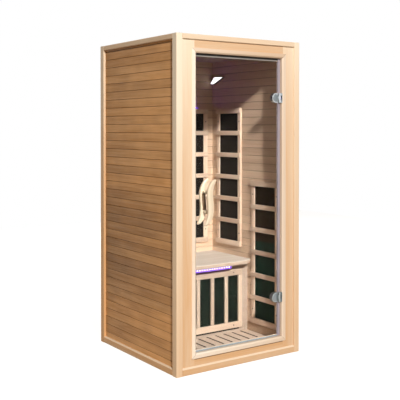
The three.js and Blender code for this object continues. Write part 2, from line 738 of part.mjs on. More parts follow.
/** The seat, with its two front corners cut off and its edges eased. */
function seat() {
  const side = INNER_X - SEAT_SIDE_GAP;
  const rear = INNER_Y - FIT;
  const shape = outline([
    [-side, rear],
    [-side, NOSE_Y + SEAT_CORNER_DEPTH],
    [-side + SEAT_CORNER_LENGTH, NOSE_Y],
    [side - SEAT_CORNER_LENGTH, NOSE_Y],
    [side, NOSE_Y + SEAT_CORNER_DEPTH],
    [side, rear],
  ]);
  return extrude('z', shape, [SEAT_LOW, SEAT_TOP], { round: SEAT_ROUND });
}

/** The floor board: a slotted board on three battens. */
function duckboard() {
  const side = INNER_X - FLOOR_SIDE_GAP;
  const rear = KNEE_Y - FLOOR_REAR_GAP;
  const low = BASE_THICKNESS + FIT;
  const slotEnd = rear - FLOOR_REAR_BORDER;
  const slotStart = slotEnd - FLOOR_SLOT_LENGTH;
  const slat = (2 * side - (FLOOR_SLATS - 1) * FLOOR_SLOT) / FLOOR_SLATS;
  const deck = [low + FLOOR_BATTEN, FLOOR_TOP];
  let body = solid(block([-side, side], [-INNER_Y + FLOOR_SIDE_GAP, rear], deck));
  for (let slot = 1; slot < FLOOR_SLATS; slot += 1) {
    const x = -side + slot * (slat + FLOOR_SLOT) - FLOOR_SLOT;
    const cut = block([x, x + FLOOR_SLOT], [slotStart, slotEnd], [low, FLOOR_TOP + OVERLAP]);
    body = body.subtract(solid(cut));
  }
  const under = [low, low + FLOOR_BATTEN + OVERLAP];
  const battens = [-INNER_Y + FLOOR_SIDE_GAP, slotStart - FLOOR_BATTEN_WIDTH];
  for (const y of battens) {
    body = body.add(solid(block([-side, side], [y, y + FLOOR_BATTEN_WIDTH], under)));
  }
  return geometryOf(body.add(solid(block([-side, side], [slotEnd, rear], under))));
}

/** The board under the seat's nose, with a joint before the batten in each corner. */
function kneeBoard() {
  const side = INNER_X - FIT;
  const rear = KNEE_Y + KNEE_BOARD;
  const points = [[side, rear], [-side, rear], [-side, KNEE_Y]];
  for (const x of [KNEE_BATTEN - INNER_X, INNER_X - KNEE_BATTEN]) {
    points.push([x - JOINT_WIDTH / 2, KNEE_Y]);
    points.push([x, KNEE_Y + JOINT_DEPTH]);
    points.push([x + JOINT_WIDTH / 2, KNEE_Y]);
  }
  points.push([side, KNEE_Y]);
  return extrude('z', outline(points), [BASE_THICKNESS + FIT, SEAT_LOW - FIT]);
}

/** Every piece of the bench and the floor, without the heaters. */
function bench() {
  const group = new THREE.Group();
  group.add(piece('bench_seat', 'bench', seat()));
  group.add(piece('bench_front_board', 'bench', kneeBoard()));
  group.add(piece('duckboard', 'bench', duckboard()));
  return group;
}

// Heaters: flat panels on the walls behind wooden ladder guards

/**
 * A heating panel and its guard on a flat face. axis is square to the face, face is its place on
 * that axis, and side points from the room into the wall. across and up are the guard's reach.
 * step is how far the stiles lie behind the rungs, and drop lowers the panel's foot.
 */
function heater(name, place, { columns, rows, stile, rail, bar, step, drop }) {
  const { axis, face, side, across, up } = place;
  const cellWidth = (across[1] - across[0] - 2 * stile - (columns - 1) * bar) / columns;
  const cellHeight = (up[1] - up[0] - 2 * rail - (rows - 1) * bar) / rows;
  const back = face - side * FIT;
  const front = back - side * GUARD_THICKNESS;
  const [behind, before] = [back + side * OVERLAP, front - side * OVERLAP];
  let guard = solid(extrude(axis, rectangle(across, up), span(back, front)));
  for (let row = 0; row < rows; row += 1) {
    const v = up[0] + rail + row * (cellHeight + bar);
    const tall = [v, v + cellHeight];
    for (let column = 0; column < columns; column += 1) {
      const u = across[0] + stile + column * (cellWidth + bar);
      const cell = rectangle([u, u + cellWidth], tall);
      guard = guard.subtract(solid(extrude(axis, cell, span(behind, before))));
    }
    const setback = rectangle([across[0] - OVERLAP, across[1] + OVERLAP], tall);
    guard = guard.subtract(solid(extrude(axis, setback, span(before, front + side * step))));
  }
  const reach = (edge) => [
    [across[0] + stile - edge, across[1] - stile + edge],
    [up[0] + rail - edge - drop, up[1] - rail + edge],
  ];
  const panel = rectangle(...reach(HEATER_OVERLAP));
  const pocket = rectangle(...reach(HEATER_OVERLAP + FIT));
  const panelFront = back - side * HEATER_THICKNESS;
  const room = solid(extrude(axis, pocket, span(behind, panelFront - side * FIT)));
  return [
    piece(`${name}_guard`, 'trim', geometryOf(guard.subtract(room))),
    piece(`${name}_heater`, 'heater', extrude(axis, panel, span(back, panelFront))),
  ];
}

/** The seven heaters with their guards. */
function heaters() {
  const group = new THREE.Group();
  const ladder = {
    columns: 1,
    rows: GUARD_CELLS,
    stile: GUARD_STILE,
    rail: GUARD_RAIL,
    bar: GUARD_RUNG,
    step: GUARD_STEP,
    drop: 0,
  };
  const high = [GUARD_LOW, GUARD_HIGH];
  const low = [FRONT_GUARD_BOTTOM, FRONT_GUARD_HIGH];
  for (const [name, side] of [['left', -1], ['right', 1]]) {
    const wall = { axis: 'x', face: side * INNER_X, side };
    const across = span(side * BACK_GUARD[0], side * BACK_GUARD[1]);
    const back = { axis: 'y', face: INNER_Y, side: 1, across, up: high };
    group.add(...heater(`${name}_rear`, { ...wall, across: REAR_GUARD, up: high }, ladder));
    group.add(...heater(`${name}_front`, { ...wall, across: FRONT_GUARD, up: low }, ladder));
    group.add(...heater(`back_${name}`, back, ladder));
  }
  const belowSeat = {
    axis: 'y',
    face: KNEE_Y,
    side: 1,
    across: [-CALF_X, CALF_X],
    up: [CALF_BOTTOM, SEAT_LOW - CALF_TOP_GAP],
  };
  group.add(...heater('calf', belowSeat, {
    columns: CALF_CELLS,
    rows: 1,
    stile: CALF_STILE,
    rail: CALF_RAIL,
    bar: CALF_BAR,
    step: 0,
    drop: CALF_RAIL - HEATER_OVERLAP + CALF_FOOT,
  }));
  return group;
}

// Lights, controls and power supply

/** The slanting lamp on the right wall, close under the ceiling in the rear corner. */
function lamp() {
  const shape = outline([
    [LAMP_REAR - LAMP_LENGTH, LAMP_TOP - LAMP_SLOPE],
    [LAMP_REAR - LAMP_TIP, LAMP_TOP - LAMP_HEIGHT],
    [LAMP_REAR, LAMP_TOP - LAMP_HEIGHT + LAMP_SLOPE],
    [LAMP_REAR - LAMP_LENGTH + LAMP_TOP_LENGTH, LAMP_TOP],
  ]);
  const wall = INNER_X - FIT;
  return extrude('x', shape, [wall - LAMP_THICKNESS, wall], { round: LAMP_ROUND });
}

/** The LED strips and the lamp. */
function lights() {
  const group = new THREE.Group();
  const underSeat = block(
    [-SEAT_LED_LENGTH / 2, SEAT_LED_LENGTH / 2],
    [NOSE_Y + SEAT_LED_SETBACK, NOSE_Y + SEAT_LED_SETBACK + SEAT_LED_DEPTH],
    [SEAT_LOW - SEAT_LED_HEIGHT, SEAT_LOW - FIT],
  );
  const onGuard = block(
    [-BACK_LED_LENGTH / 2, BACK_LED_LENGTH / 2],
    [INNER_Y - BACK_LED_DEPTH, INNER_Y - FIT],
    [GUARD_HIGH + FIT, GUARD_HIGH + BACK_LED_HEIGHT],
  );
  group.add(piece('bench_led_strip', 'led', underSeat));
  group.add(piece('back_led_strip', 'led', onGuard));
  group.add(piece('reading_lamp', 'lamp', lamp()));
  return group;
}

/** Where each push button sits on the control panel: [across, up] steps from their middle. */
const BUTTONS = {
  power: [-0.5, 0.5],
  light: [0.5, 0.5],
  down: [-0.5, -0.5],
  up: [0.5, -0.5],
};

/** Middle of a push button in (y, z). */
function buttonPlace([across, up]) {
  return [
    PANEL_MIDDLE_Y - across * BUTTON_STEP_ACROSS,
    PANEL_MIDDLE_Z - BUTTON_FALL + up * BUTTON_STEP_UP,
  ];
}

/** A rounded rectangle about a middle point. */
function patch([u, v], width, height, round) {
  return rectangle([u - width / 2, u + width / 2], [v - height / 2, v + height / 2], round);
}

/** The control panel on the left wall, with a sunk display and a pocket for each button. */
function controlPanel() {
  const middle = [PANEL_MIDDLE_Y, PANEL_MIDDLE_Z];
  const plate = patch(middle, PANEL_WIDTH, PANEL_HEIGHT, PANEL_ROUND);
  const window = patch(
    [PANEL_MIDDLE_Y, PANEL_MIDDLE_Z + DISPLAY_RISE],
    DISPLAY_WIDTH,
    DISPLAY_HEIGHT,
    BUTTON_ROUND,
  );
  let body = solid(extrude('x', plate, [PANEL_BACK, PANEL_FACE]));
  body = body.subtract(solid(extrude('x', window, [PANEL_FACE - DISPLAY_DEPTH, PANEL_FACE + OVERLAP])));
  const floor = PANEL_FACE + BUTTON_PROUD - BUTTON_THICKNESS - BUTTON_TRAVEL - FIT;
  for (const steps of Object.values(BUTTONS)) {
    const wide = BUTTON_WIDTH + 2 * BUTTON_CLEARANCE;
    const tall = BUTTON_HEIGHT + 2 * BUTTON_CLEARANCE;
    const pocket = patch(buttonPlace(steps), wide, tall, BUTTON_ROUND + BUTTON_CLEARANCE);
    body = body.subtract(solid(extrude('x', pocket, [floor, PANEL_FACE + OVERLAP])));
  }
  return geometryOf(body);
}

/** The power supply on the roof: a rounded box with a cable gland at its rear. */
function powerBox() {
  const rear = INNER_Y - POWER_BOX_REAR_GAP;
  const low = ROOF_TOP + FIT;
  const wide = [-POWER_BOX_WIDTH / 2, POWER_BOX_WIDTH / 2];
  const plan = rectangle(wide, [rear - POWER_BOX_DEPTH, rear], POWER_BOX_ROUND);
  const box = solid(extrude('z', plan, [low, low + POWER_BOX_HEIGHT]));
  const gland = [wide[1] / 2, low + POWER_BOX_HEIGHT / 2];
  const run = [rear - OVERLAP, rear + GLAND_LENGTH];
  return geometryOf(box.add(rod('y', gland, GLAND_RADIUS, run)));
}

/** The control panel with its push buttons, and the power supply. */
function controls() {
  const group = new THREE.Group();
  group.add(piece('control_panel', 'plastic', controlPanel()));
  const front = PANEL_FACE + BUTTON_PROUD;
  for (const [name, steps] of Object.entries(BUTTONS)) {
    const cap = patch(buttonPlace(steps), BUTTON_WIDTH, BUTTON_HEIGHT, BUTTON_ROUND);
    const geometry = extrude('x', cap, [front - BUTTON_THICKNESS, front], { round: BUTTON_EASE });
    group.add(piece(`${name}_button`, 'button', geometry));
  }
  group.add(piece('power_box', 'plastic', powerBox()));
  return group;
}

const cabin = new THREE.Group();
cabin.add(shell(), front(), door(), bench(), heaters(), lights(), controls());

export default cabin;
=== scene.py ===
"""Infrared sauna cabin: finishes, small pieces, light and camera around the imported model.

All lengths are in metres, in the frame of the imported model: the origin is on the ground at the
middle of the footprint, +Z is up and the door faces -Y.
"""

from __future__ import annotations

import logging
import math
from dataclasses import dataclass, field, replace
from enum import Enum
from functools import cache
from typing import Any, Callable, Sequence

import bpy
import numpy as np
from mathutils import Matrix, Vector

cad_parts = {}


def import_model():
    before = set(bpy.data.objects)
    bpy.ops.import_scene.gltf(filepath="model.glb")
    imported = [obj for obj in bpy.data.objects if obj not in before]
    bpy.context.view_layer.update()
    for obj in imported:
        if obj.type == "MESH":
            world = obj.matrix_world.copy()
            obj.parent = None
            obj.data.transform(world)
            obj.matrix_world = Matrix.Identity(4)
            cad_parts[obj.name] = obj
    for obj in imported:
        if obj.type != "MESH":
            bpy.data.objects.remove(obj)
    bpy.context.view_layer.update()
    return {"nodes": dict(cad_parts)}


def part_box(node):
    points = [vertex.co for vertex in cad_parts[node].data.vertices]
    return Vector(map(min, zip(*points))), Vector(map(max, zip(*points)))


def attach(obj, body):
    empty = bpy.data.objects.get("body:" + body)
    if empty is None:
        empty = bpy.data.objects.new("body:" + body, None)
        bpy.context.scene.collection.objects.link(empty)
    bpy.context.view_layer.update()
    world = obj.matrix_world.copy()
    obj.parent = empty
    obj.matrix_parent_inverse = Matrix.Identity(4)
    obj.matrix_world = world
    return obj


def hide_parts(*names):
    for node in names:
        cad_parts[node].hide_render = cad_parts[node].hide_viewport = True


LOG = logging.getLogger("cabin")
CABIN = "cabin"
DOOR = "door"

Pair = tuple[float, float]
Triple = tuple[float, float, float]


# Surfaces

SHARP_EDGE = math.radians(38)
TONE_SHIFT = np.array([3.1, 1.7, 0.9])
ROUND_POINTS = 32
EASE_STEPS = 3
SCREW_RINGS = (1.0, 1.0, 0.94, 0.8, 0.62, 0.46, 0.3, 0.16)

# Where a surface's own three axes point once it is in place
X, Y, Z = np.eye(3)
Z_AXES = np.array([X, Y, Z])
Y_AXES = np.array([Z, X, Y])
MINUS_Y_AXES = np.array([X, Z, -Y])
MINUS_X_AXES = np.array([Y, Z, -X])
PANEL_AXES = np.array([-Y, Z, X])
HALF_TURN = np.array([-X, -Y, Z])
OVER_AXES = np.array([Z, Y, -X])
UNDER_AXES = np.array([-Z, Y, X])


@dataclass
class Surface:
    """Points and faces of one mesh, with what its finish reads at each point.

    grain holds wood coordinates whose first axis runs along the fibres, and tone a share from 0
    to 1 that tells one board from the next.
    """

    points: np.ndarray
    quads: np.ndarray
    caps: list[np.ndarray] = field(default_factory=list)
    grain: np.ndarray | None = None
    tone: np.ndarray | None = None

    def placed(self, axes: np.ndarray, origin: Sequence[float]) -> Surface:
        """Carries the surface to another place, and keeps its faces pointing outwards.

        Args:
            axes: Three rows, the directions that the surface's own axes take.
            origin: Where the surface's own origin goes.

        Returns:
            The surface in its new place.
        """
        moved = replace(self, points=self.points @ axes + np.asarray(origin))
        return moved.turned_over() if np.linalg.det(axes) < 0 else moved

    def turned_over(self) -> Surface:
        """The same surface with its faces pointing the other way."""
        return replace(self, quads=self.quads[:, ::-1], caps=[cap[::-1] for cap in self.caps])

    def wooden(self, grain: np.ndarray, tone: float) -> Surface:
        """The same surface with wood coordinates and one tone all over."""
        return replace(self, grain=grain, tone=np.full(len(self.points), tone))


def joined(surfaces: Sequence[Surface]) -> Surface:
    """Puts several surfaces into one mesh.

    Args:
        surfaces: The surfaces, which stay apart in the mesh.

    Returns:
        One surface with all their points and faces.
    """
    starts = np.cumsum([0] + [len(s.points) for s in surfaces])
    return Surface(
        np.concatenate([s.points for s in surfaces]),
        np.concatenate([s.quads + start for s, start in zip(surfaces, starts)]),
        [cap + start for s, start in zip(surfaces, starts) for cap in s.caps],
        np.concatenate([s.points if s.grain is None else s.grain for s in surfaces]),
        np.concatenate([np.zeros(len(s.points)) if s.tone is None else s.tone for s in surfaces]),
    )


def tube(rings: np.ndarray, closed: bool = False) -> Surface:
    """Skins a stack of rings: quads between neighbours, and a flat face on each end.

    Args:
        rings: Points as (stations, ring points, 3), each ring turning left about the path.
        closed: True where the last ring meets the first, so that there are no ends.

    Returns:
        The skin, facing outwards.
    """
    stations, count = rings.shape[:2]
    rows = np.arange(stations if closed else stations - 1)[:, None]
    ring = np.arange(count)
    after = (rows + 1) % stations * count
    turn = (ring + 1) % count
    corners = [rows * count + ring, rows * count + turn, after + turn, after + ring]
    quads = np.stack(np.broadcast_arrays(*corners), -1).reshape(-1, 4)
    caps = [] if closed else [ring[::-1], ring + (stations - 1) * count]
    return Surface(rings.reshape(-1, 3), quads, caps)


def lifted(rings: np.ndarray, height: np.ndarray, closed: bool = False) -> Surface:
    """Skins flat rings, as tube does, with each point at its own height.

    Args:
        rings: Points as (stations, ring points, 2).
        height: Heights that spread over stations and ring points.
        closed: True where the last ring meets the first.

    Returns:
        The skin.
    """
    level = np.broadcast_to(height, rings.shape[:2])[..., None]
    return tube(np.concatenate([rings, level], -1), closed)


def rays(angle: np.ndarray) -> np.ndarray:
    """Points (cos a, sin a) of the unit circle."""
    return np.stack([np.cos(angle), np.sin(angle)], -1)


def rounded_rings(half: np.ndarray, radius: np.ndarray, steps: int) -> np.ndarray:
    """Rounded rectangles: at each of four corner centres, a quarter circle of the given radius.

    Args:
        half: Half width and half height of each ring, as (rings, 2).
        radius: Corner radius of each ring.
        steps: Chords in each quarter circle.

    Returns:
        Points as (rings, 4 * (steps + 1), 2).
    """
    quarter = np.linspace(0, np.pi / 2, steps + 1)
    turns = (np.arange(4)[:, None] * np.pi / 2 + quarter).ravel()
    corner = np.repeat(np.array([[1, 1], [-1, 1], [-1, -1], [1, -1]]), steps + 1, axis=0)
    centre = (half - radius[:, None])[:, None, :] * corner
    return centre + radius[:, None, None] * rays(turns)


def board(
    low: Sequence[float], high: Sequence[float], along: int, ease: float, tone: float = 0.5
) -> Surface:
    """A straight board with eased edges: a rounded rectangle carried along one axis.

    Towards each end the ring shrinks by ease * (1 - sin(angle)) while it moves by
    ease * (1 - cos(angle)), which rounds the end edges too.

    Args:
        low: Lowest corner.
        high: Highest corner.
        along: Index of the axis that the fibres follow.
        ease: Radius of the eased edges.
        tone: Share that tells this board from others.

    Returns:
        The board.
    """
    low, high = np.asarray(low, float), np.asarray(high, float)
    across = [(along + 1) % 3, (along + 2) % 3]
    angle = np.linspace(np.pi / 10, np.pi / 2, EASE_STEPS)
    inset = ease * (1 - np.sin(angle))
    step = ease * (1 - np.cos(angle))
    shrink = np.concatenate([inset, inset[::-1]])
    half = (high - low)[across] / 2 - shrink[:, None]
    ring = rounded_rings(half, ease - shrink, EASE_STEPS)
    points = np.zeros(ring.shape[:2] + (3,))
    points[..., across] = ring + ((low + high) / 2)[across]
    points[..., along] = np.concatenate([low[along] + step, (high[along] - step)[::-1]])[:, None]
    skin = tube(points)
    return skin.wooden(skin.points[:, [along] + across] + tone * TONE_SHIFT, tone)


def turned(profile: Sequence[Pair], count: int = ROUND_POINTS) -> Surface:
    """A body of revolution about its own third axis, with a flat face on each end.

    Args:
        profile: Radius and height of each ring, from the foot upwards.
        count: Points round each ring.

    Returns:
        The body.
    """
    radius, height = np.array(profile, float).T[..., None]
    angle = np.arange(count) * 2 * np.pi / count
    return lifted(radius[..., None] * rays(angle), height)


def carried(section: np.ndarray, length: float) -> Surface:
    """Carries a closed section straight along its own third axis.

    Args:
        section: Outline as (points, 2), turning left.
        length: How far it is carried.

    Returns:
        A prism from 0 to length.
    """
    return lifted(np.stack([section, section]), np.array([[0.0], [length]]))


def softened(corners: np.ndarray, cut: float, steps: int) -> np.ndarray:
    """Rounds a polygon: each corner becomes a parabola between two points cut away from it.

    With a before, b at and c after the corner, a point is (1-t)**2 a + 2 t (1-t) b + t**2 c.

    Args:
        corners: Polygon as (points, 2).
        cut: Distance from a corner to each end of its curve.
        steps: Points on each curve.

    Returns:
        The outline as (points * steps, 2).
    """
    ahead = np.roll(corners, -1, axis=0) - corners
    ahead /= np.linalg.norm(ahead, axis=1, keepdims=True)
    behind = np.roll(ahead, 1, axis=0)
    t = np.linspace(0, 1, steps)[None, :, None]
    a, b, c = (part[:, None] for part in (corners - behind * cut, corners, corners + ahead * cut))
    return ((1 - t) ** 2 * a + 2 * t * (1 - t) * b + t**2 * c).reshape(-1, 2)


def plate(outline: np.ndarray, heights: Sequence[float], shares: Sequence[float]) -> Surface:
    """A thin plate: its outline at each height, drawn towards its middle by a share.

    Args:
        outline: Outline as (points, 2), turning left.
        heights: Height of each ring.
        shares: Size of each ring as a share of the outline.

    Returns:
        The plate about its own third axis.
    """
    middle = (outline.min(0) + outline.max(0)) / 2
    rings = middle + (outline - middle) * np.array(shares)[:, None, None]
    return lifted(rings, np.array(heights)[:, None])


def cross_screw(radius: float, rise: float) -> Surface:
    """A pan-head screw: a dome of height 1 - (r / R)**2 with a cross pressed into it.

    The cross is deepest in the middle and reaches out where the angle is near a quarter turn.

    Args:
        radius: Radius of the head.
        rise: Height of the head.

    Returns:
        The head about its own third axis, with its foot at zero.
    """
    share = np.array(SCREW_RINGS)[:, None]
    angle = np.arange(ROUND_POINTS) * 2 * np.pi / ROUND_POINTS
    dome = rise * (0.45 + 0.55 * (1 - share**2))
    arm = np.clip(np.abs(np.cos(2 * angle)) * 4 - 2.9 + 0.9 * (0.5 - share), 0, 1)
    height = dome - rise * 0.6 * arm * (share < 0.6)
    height[0] = 0
    return lifted(radius * share[..., None] * rays(angle), height)


# Shader nodes


def math_method(operation: str) -> Callable[..., Wire]:
    """Makes a method of Wire that adds a Math node.

    Args:
        operation: What the node does.

    Returns:
        The method, which takes the node's further values.
    """

    def method(self: Wire, *others: Wire | float) -> Wire:
        """Adds the node and gives its result."""
        inputs = dict(enumerate((self, *others)))
        return self.weaver.wire("ShaderNodeMath", inputs, operation=operation)

    return method


@dataclass(frozen=True)
class Wire:
    """A value that a node puts out; arithmetic on wires adds Math nodes to their tree."""

    weaver: Weaver
    socket: bpy.types.NodeSocket

    __add__ = math_method("ADD")
    __sub__ = math_method("SUBTRACT")
    __mul__ = math_method("MULTIPLY")
    __truediv__ = math_method("DIVIDE")
    __lt__ = math_method("LESS_THAN")
    __gt__ = math_method("GREATER_THAN")
    __abs__ = math_method("ABSOLUTE")
    most = math_method("MAXIMUM")
    least = math_method("MINIMUM")
    floor = math_method("FLOOR")
    sine = math_method("SINE")

    def __rsub__(self, other: float) -> Wire:
        """A number less this value."""
        return self.weaver.wire("ShaderNodeMath", {0: other, 1: self}, operation="SUBTRACT")

    def remap(self, low: float, high: float, to_low: float = 0.0, to_high: float = 1.0) -> Wire:
        """Turns the range from low to high smoothly into another, and stops at its ends."""
        inputs = {0: self, 1: low, 2: high, 3: to_low, 4: to_high}
        return self.weaver.wire("ShaderNodeMapRange", inputs, interpolation_type="SMOOTHSTEP")


class Weaver:
    """Adds nodes to a node tree and links them, one short call for each node."""

    def __init__(self, tree: bpy.types.NodeTree) -> None:
        """Takes the tree to add to."""
        self.tree = tree

    def feed(self, node: bpy.types.Node, inputs: dict[Any, Any]) -> None:
        """Links or sets inputs of a node.

        Args:
            node: The node.
            inputs: Input name or index to a number, a vector, a colour or the wire that feeds it.
        """
        for name, value in inputs.items():
            socket = node.inputs[name]
            if isinstance(value, Wire):
                self.tree.links.new(value.socket, socket)
            else:
                socket.default_value = (*value, 1.0) if socket.type == "RGBA" else value

    def node(self, kind: str, inputs: dict[Any, Any] | None = None, **settings: Any) -> bpy.types.Node:
        """Adds a node.

        Args:
            kind: The node's type in Blender.
            inputs: What feeds it, as for feed.
            **settings: The node's own properties.

        Returns:
            The new node.
        """
        made = self.tree.nodes.new(kind)
        for name, value in settings.items():
            setattr(made, name, value)
        self.feed(made, inputs or {})
        return made

    def wire(
        self, kind: str, inputs: dict[Any, Any] | None = None, output: str | int = 0, **settings: Any
    ) -> Wire:
        """Adds a node, as node does, and gives one of its outputs."""
        return Wire(self, self.node(kind, inputs, **settings).outputs[output])

    def vector(self, operation: str, *values: Wire | Triple) -> Wire:
        """Adds a Vector Math node and gives its vector."""
        return self.wire("ShaderNodeVectorMath", dict(enumerate(values)), operation=operation)

    def mix(self, share: Wire | float, first: Any, second: Any, blend: str = "MIX") -> Wire:
        """Adds a colour Mix node and gives its colour."""
        inputs = {0: share, 6: first, 7: second}
        return self.wire("ShaderNodeMix", inputs, 2, data_type="RGBA", blend_type=blend)

    def noise(self, vector: Wire, scale: float | Triple, detail: float) -> Wire:
        """Adds a noise on a vector times scale and gives its value.

        Args:
            vector: The coordinates.
            scale: How much closer the pattern is, along each axis or along all.
            detail: Finer octaves that are added.

        Returns:
            The noise, about .5.
        """
        spread = scale if isinstance(scale, tuple) else (scale,) * 3
        inputs = {"Vector": self.vector("MULTIPLY", vector, spread), "Scale": 1.0, "Detail": detail}
        return self.wire("ShaderNodeTexNoise", inputs)

    def bump(self, height: Wire, strength: float, distance: float) -> Wire:
        """Adds a Bump node and gives its normal."""
        inputs = {"Height": height, "Strength": strength, "Distance": distance}
        return self.wire("ShaderNodeBump", inputs)

    def place(self) -> Wire:
        """Adds the object's own coordinates."""
        return self.wire("ShaderNodeTexCoord", None, "Object")

    def parts(self, vector: Wire) -> list[Wire]:
        """Splits a vector into its three parts."""
        return [Wire(self, part) for part in self.node("ShaderNodeSeparateXYZ", {0: vector}).outputs]

    def combined(self, *parts: Wire | float) -> Wire:
        """Makes a vector of three parts."""
        return self.wire("ShaderNodeCombineXYZ", dict(enumerate(parts)))

    def group(self, tree: bpy.types.NodeTree, inputs: dict[str, Any]) -> dict[str, Wire]:
        """Adds a node group with its own values, and gives its outputs by name."""
        made = self.node("ShaderNodeGroup", inputs, node_tree=tree)
        return {socket.name: Wire(self, socket) for socket in made.outputs}


class Painter(Weaver):
    """Starts a material and adds nodes to it."""

    def __init__(self, name: str) -> None:
        """Makes the material.

        Args:
            name: Its name.
        """
        self.material = bpy.data.materials.new(name)
        self.material.use_nodes = True
        super().__init__(self.material.node_tree)
        self.shader = self.tree.nodes["Principled BSDF"]

    def shade(self, inputs: dict[str, Any]) -> None:
        """Feeds the Principled shader."""
        self.feed(self.shader, inputs)

    def show(self, kind: str, *inputs: Wire) -> None:
        """Adds a shader that mixes others, and shows it in place of the Principled one."""
        both = self.wire(kind, dict(enumerate(inputs)))
        self.feed(self.tree.nodes["Material Output"], {"Surface": both})


def new_group(
    name: str, inputs: dict[str, str], outputs: dict[str, str]
) -> tuple[Weaver, dict[str, Wire], bpy.types.Node]:
    """Starts a shader node group.

    Args:
        name: Name of the group.
        inputs: Input name to the kind of its socket: Float, Vector or Color.
        outputs: Output name to the kind of its socket.

    Returns:
        A weaver for the group, its inputs by name and the node that takes its outputs.
    """
    tree = bpy.data.node_groups.new(name, "ShaderNodeTree")
    for way, sockets in (("INPUT", inputs), ("OUTPUT", outputs)):
        for label, kind in sockets.items():
            tree.interface.new_socket(name=label, in_out=way, socket_type="NodeSocket" + kind)
    weaver = Weaver(tree)
    source = weaver.node("NodeGroupInput").outputs
    wires = {label: Wire(weaver, source[label]) for label in inputs}
    return weaver, wires, weaver.node("NodeGroupOutput")


@cache
def grain_group() -> bpy.types.NodeTree:
    """Wood: broad streaks, contour lines of a slow noise as growth rings, fine lines and fibres.

    Returns:
        A group that turns wood coordinates into colour, roughness and height.
    """
    inputs = {"Vector": "Vector", "Tone": "Float", "Pale": "Color", "Deep": "Color"}
    inputs |= {"Figure": "Float", "Contrast": "Float", "Warmth": "Float"}
    outputs = {"Color": "Color", "Roughness": "Float", "Height": "Float"}
    weaver, source, target = new_group("wood_grain", inputs, outputs)
    vector, tone, warmth = source["Vector"], source["Tone"], source["Warmth"]
    sway = (weaver.noise(vector, (1.3, 5.0, 5.0), 1.0) - 0.5) * 0.02
    bent = weaver.vector("ADD", vector, weaver.combined(0.0, sway, sway))
    broad = weaver.noise(bent, (0.9, 16.0, 16.0), 1.0)
    ring = (broad * 62.0).sine().remap(-0.2, 1.0)
    lines = weaver.noise(bent, (3.0, 210.0, 210.0), 2.0)
    fibre = weaver.noise(bent, (22.0, 1100.0, 1100.0), 1.0)
    depth = broad.remap(0.32, 0.7) * 0.46 + lines.remap(0.35, 0.7) * 0.24
    depth = depth + ring * source["Figure"] * 0.34 + fibre.remap(0.4, 0.75) * 0.12
    depth = depth * (1.25 - tone * 0.5) * source["Contrast"] + (0.8 - tone) * warmth
    colour = weaver.mix(depth, source["Pale"], source["Deep"])
    bright = (tone - 0.5) * (0.3 - warmth * 0.1) + 0.98
    colour = weaver.mix(1.0, colour, weaver.combined(bright, bright, bright), "MULTIPLY")
    roughness = lines.remap(0.25, 0.75, 0.42, 0.6)
    height = lines * 0.6 + fibre * 0.4 - ring * 0.25
    weaver.feed(target, {"Color": colour, "Roughness": roughness, "Height": height})
    return weaver.tree


@cache
def boards_group() -> bpy.types.NodeTree:
    """Boards side by side: each piece gets a tone and a shift of its own.

    Returns:
        A group that turns places along and across the boards into tone, shift and distance to the
        nearest joint.
    """
    inputs = dict.fromkeys(("Along", "Across", "First", "Pitch", "Run"), "Float")
    outputs = {"Tone": "Float", "Shift": "Vector", "Edge": "Float"}
    weaver, source, target = new_group("boards", inputs, outputs)
    place = (source["Across"] - source["First"]) / source["Pitch"]
    number = place.floor()
    share = place - number
    edge = share.least(1.0 - share) * source["Pitch"]
    row = weaver.wire("ShaderNodeTexWhiteNoise", {"W": number}, noise_dimensions="1D")
    run = row * 9.0 + source["Along"] / source["Run"]
    length = weaver.combined(number, run.floor(), 3.0)
    tone = weaver.wire("ShaderNodeTexWhiteNoise", {"Vector": length}, noise_dimensions="3D")
    shift = weaver.combined(tone * 7.0, row, tone * 3.0)
    weaver.feed(target, {"Tone": tone, "Shift": shift, "Edge": edge})
    return weaver.tree


# Finishes

JOINT_BLUR = 0.002
# Blur of the edges of the band of painted shade on the boards.
SHADE_BAND_BLUR = 0.08
# Blur of the edge of painted light or shade at a height.
PAINTED_SPLIT_BLUR = 0.0008
# Darkness of the painted shadow line under the casing, by distance from its middle.
CASING_SHADOW_LINE = (0.0015, 0.003, 0.75, 0.0)
MITRE_LINE = (0.0004, 0.0014, 0.7, 0.0)
# How much painted shade darkens the casing to the right and on its head.
CASING_PAINTED_SHADE = 0.6
# Colour of dark joints and of painted shadow lines.
JOINT_AND_SHADOW_COLOUR = (0.05, 0.026, 0.012)
WOOD_GLOSS = 0.3
WOOD_RELIEF = (0.25, 0.0005)
MID_HEIGHT = 0.95
SLOW_CHANGE = 0.5
PLANK_SHIFT = 7.0
NOISE_RANGE = (0.3, 0.7)


class Layout(Enum):
    """How the fibres lie on a piece."""

    ALONG_X = "along_x"
    ALONG_Y = "along_y"
    ALONG_Z = "along_z"
    SIDE_BOARDS = "side_boards"
    BACK_BOARDS = "back_boards"
    ROOF_BOARDS = "roof_boards"
    MITRED = "mitred"
    OWN = "own"


# The axes along, across and through the wood
FIBRE_AXES = {
    Layout.ALONG_X: (0, 1, 2),
    Layout.ALONG_Y: (1, 2, 0),
    Layout.ALONG_Z: (2, 0, 1),
    Layout.SIDE_BOARDS: (1, 2, 0),
    Layout.BACK_BOARDS: (0, 2, 1),
    Layout.ROOF_BOARDS: (1, 0, 2),
}


@dataclass(frozen=True)
class Doorway:
    """The door opening in the front."""

    half_width: float = 0.316
    low: float = 0.112
    high: float = 1.797

    def outside(self, x: Wire, z: Wire) -> tuple[Wire, Wire]:
        """How far a point lies beside the opening, and how far above or below it."""
        return abs(x) - self.half_width, (z - self.high).most(self.low - z)


DOORWAY = Doorway()


